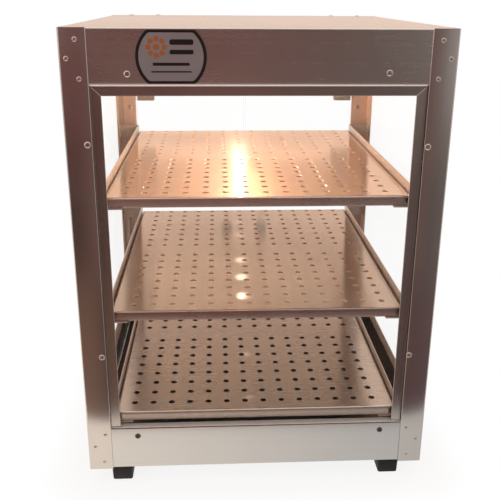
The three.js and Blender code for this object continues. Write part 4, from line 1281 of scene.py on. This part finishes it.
lens_profile = [(4.4, 0.1), (6.0, 0.3), (6.0, 1.6), (5.4, 2.0), (5.2, 3.2), (4.2, 4.4), (2.4, 5.0), (0.4, 5.1)]
lens = on_panel(turned(lens_profile, 32, "y"), PILOT_X)
piece("pilot_lens", lens, "amber_lens", ["pilot_light"])

pins = []
for k, z in ((-1, CONTROL_Z - 1.0), (0, CONTROL_Z + 2.0), (1, CONTROL_Z - 1.0)):
    pin = rounded_box(2.0, 4.0, 0.5, 3, INLET_X + 7.0 * k, z)
    pins.append(slab(pin, "y", panel_rear - 13.6, panel_rear - 4.6, 0.4))
piece("inlet_pins", stack(*pins), "brass")
inlet_spots = [((INLET_X + side * 20.0, panel_rear + 3.3, CONTROL_Z), "rear", 0.6) for side in SIDES]
fasteners("inlet_screws", head_shape(2.6, 1.1, cross), inlet_spots)
dress("rail_steel", "wiring_cover")

# %% [markdown]
# The case stands on a pale table that ends a hand's breadth in front of it. To the camera the table is
# white, with the case's shadow close to it. In the steel's reflections it is brighter and warmer on the left.

# %% Floor
TABLE_LEFT = (1.18, 1.06, 0.93, 1.0)
TABLE_RIGHT = (0.71, 0.69, 0.66, 1.0)
SHADOW_REACH = 0.10


def light_path(tree):
    """The kinds of ray as values, by name."""
    made = tree.node("LightPath").socket.node
    return {out.name: Value(tree, out) for out in made.outputs}


def emission(tree, color):
    """Light of one colour at full strength."""
    return tree.node("Emission", {"Color": color, "Strength": 1.0})


def floor_finish(tree):
    """White to the camera away from the case, its own shaded surface near it, and two tones in the steel."""
    x, y, _ = tree.axes(tree.place())
    outside_x = (x.abs() - half_width * MM).smooth(0.0, SHADOW_REACH)
    outside_y = (y.abs() - case_depth / 2 * MM).smooth(0.0, SHADOW_REACH)
    far = (outside_x + outside_y).smooth(0.0, 1.0)
    rays = light_path(tree)
    white = rays["Is Camera Ray"] * (far * 0.14 + 0.86)
    pale = tree.node("BsdfDiffuse", {"Color": shade((250, 248, 246))})
    seen = tree.node("MixShader", {0: white, 1: pale, 2: emission(tree, (1, 1, 1, 1))})
    side = tree.mix(x.smooth(-0.3, 0.3), TABLE_LEFT, TABLE_RIGHT)
    return tree.node("MixShader", {0: rays["Is Glossy Ray"], 1: seen, 2: emission(tree, side)})


material("table", floor_finish)
table_front, table_rear, table_half = front_plane - 0.150, 2.6, 1.6
corners = [(-table_half, table_front, 0.0), (table_half, table_front, 0.0)]
corners += [(table_half, table_rear, 0.0), (-table_half, table_rear, 0.0)]
table = bpy.data.meshes.new("table")
table.from_pydata(corners, [], [(0, 1, 2, 3)])
table.materials.append(finishes["table"])
floor = bpy.data.objects.new("table", table)
bpy.context.scene.collection.objects.link(floor)
print("table", table_rear - table_front, "m deep")

# %% [markdown]
# Polished steel shows what is round it, so the surroundings matter as much as the lamps. The room is one
# colour per direction. In front it is dim and reddish, darkest below the horizon, with a pale floor near
# the table and a pale window on the right. The sides are pale. The rear wall is light, warm above the
# horizon and darker higher up, under a pale ceiling. To the camera all of it is white.

# %% Room
FRONT_LEVEL, FRONT_LEVEL_RIGHT = (0.190, 0.072, 0.066, 1), (0.138, 0.106, 0.094, 1)
FRONT_LOW, FRONT_LOW_RIGHT = (0.030, 0.012, 0.010, 1), (0.120, 0.108, 0.102, 1)
FRONT_DEEP, FRONT_DEEP_RIGHT = (0.236, 0.130, 0.090, 1), (0.122, 0.072, 0.079, 1)
FRONT_LOW_MIDDLE, FRONT_DEEP_MIDDLE = (0.38, 0.185, 0.150, 1), (0.085, 0.048, 0.042, 1)
WINDOW, NEAR_FLOOR = (0.46, 0.44, 0.43, 1), (1.5, 1.3, 1.2, 1)
SIDE_WALL, REAR_SIDE = (0.80, 0.70, 0.64, 1), (0.62, 0.56, 0.52, 1)
REAR_LOW, REAR_MIDDLE, REAR_HIGH = (1.02, 0.88, 0.78, 1), (1.90, 1.28, 0.98, 1), (0.44, 0.34, 0.285, 1)
CEILING_GLOW = (0.70, 0.61, 0.545, 1)

world = bpy.data.worlds.new("room")
bpy.context.scene.world = world
room = Tree(world)
dir_x, dir_y, dir_z = room.axes(room.node("TexCoord", output="Generated"))
level = room.mix(dir_x.smooth(-0.05, 0.36), FRONT_LEVEL, FRONT_LEVEL_RIGHT)
middle, right_side = dir_x.smooth(-0.09, 0.0), dir_x.smooth(0.04, 0.14)
low = room.mix(right_side, room.mix(middle, FRONT_LOW, FRONT_LOW_MIDDLE), FRONT_LOW_RIGHT)
deep = room.mix(right_side, room.mix(middle, FRONT_DEEP, FRONT_DEEP_MIDDLE), FRONT_DEEP_RIGHT)
front = room.mix(dir_z.smooth(-0.34, -0.10), low, level)
front = room.mix(dir_z.smooth(-0.34, -0.42), front, deep)
front = room.mix(dir_z.smooth(-0.61, -0.72), front, NEAR_FLOOR)
front = room.mix(dir_x.smooth(0.29, 0.36) * dir_z.smooth(-0.22, -0.12), front, WINDOW)
front = room.mix(dir_x.abs().smooth(0.5, 0.85), front, SIDE_WALL)
rear = room.mix(dir_z.smooth(0.19, 0.25), REAR_LOW, REAR_MIDDLE)
rear = room.mix(dir_z.smooth(0.29, 0.42), rear, REAR_HIGH)
rear = room.mix(dir_x.abs().smooth(0.45, 0.75), rear, REAR_SIDE)
walls = room.mix(dir_y.smooth(-0.15, 0.3), front, rear)
sky = room.mix(dir_z.smooth(0.55, 0.8), walls, CEILING_GLOW)
backdrop = room.mix(light_path(room)["Is Camera Ray"], sky, (1, 1, 1, 1))
background = room.node("Background", {"Color": backdrop, "Strength": 1.0})
room.node("OutputWorld", {"Surface": background})
print(len(room.tree.nodes), "nodes in the room")

# %% [markdown]
# Two large soft lamps give the plain light, one overhead and a weaker one on the left. A small warm lamp
# under the filament lights the shelves, because a mesh as thin as the coil gives a noisy light.

# %% Lamps


def add_light(name, kind, power, color, **settings):
    """A light with its object, at the origin until it is placed."""
    data = bpy.data.lights.new(name, kind)
    data.energy = power
    data.color = color
    for key, value in settings.items():
        setattr(data, key, value)
    light = bpy.data.objects.new(name, data)
    bpy.context.scene.collection.objects.link(light)
    return light


def area_lamp(name, place, target, size, power, color):
    """A square soft lamp at a place, turned to a target, both in metres. It shines along its own -Z."""
    z = np.subtract(place, target)
    z /= np.linalg.norm(z)
    x = np.cross([0.0, 0.0, 1.0], z)
    x /= np.linalg.norm(x)
    columns = np.column_stack([x, np.cross(z, x), z, place])
    add_light(name, "AREA", power, color, size=size).matrix_world = Matrix([*columns.tolist(), [0, 0, 0, 1]])


area_lamp("overhead", (0.1, 0.0, 2.0), (0.0, 0.0, 0.3), 2.8, 18.0, (1.0, 0.96, 0.92))
area_lamp("left_fill", (-1.6, -1.0, 1.3), (0.0, 0.0, 0.3), 1.9, 7.0, (1.0, 0.95, 0.9))
warm_lamp = add_light("warm_lamp", "POINT", 1.2, (1.0, 0.86, 0.72), shadow_soft_size=0.004)
warm_lamp.location = to_frame([-16.0, LAMP_Y, LAMP_Z - 20.0]).tolist()
print(len(bpy.data.lights), "lights")

bpy.context.scene.view_settings.view_transform = "Standard"
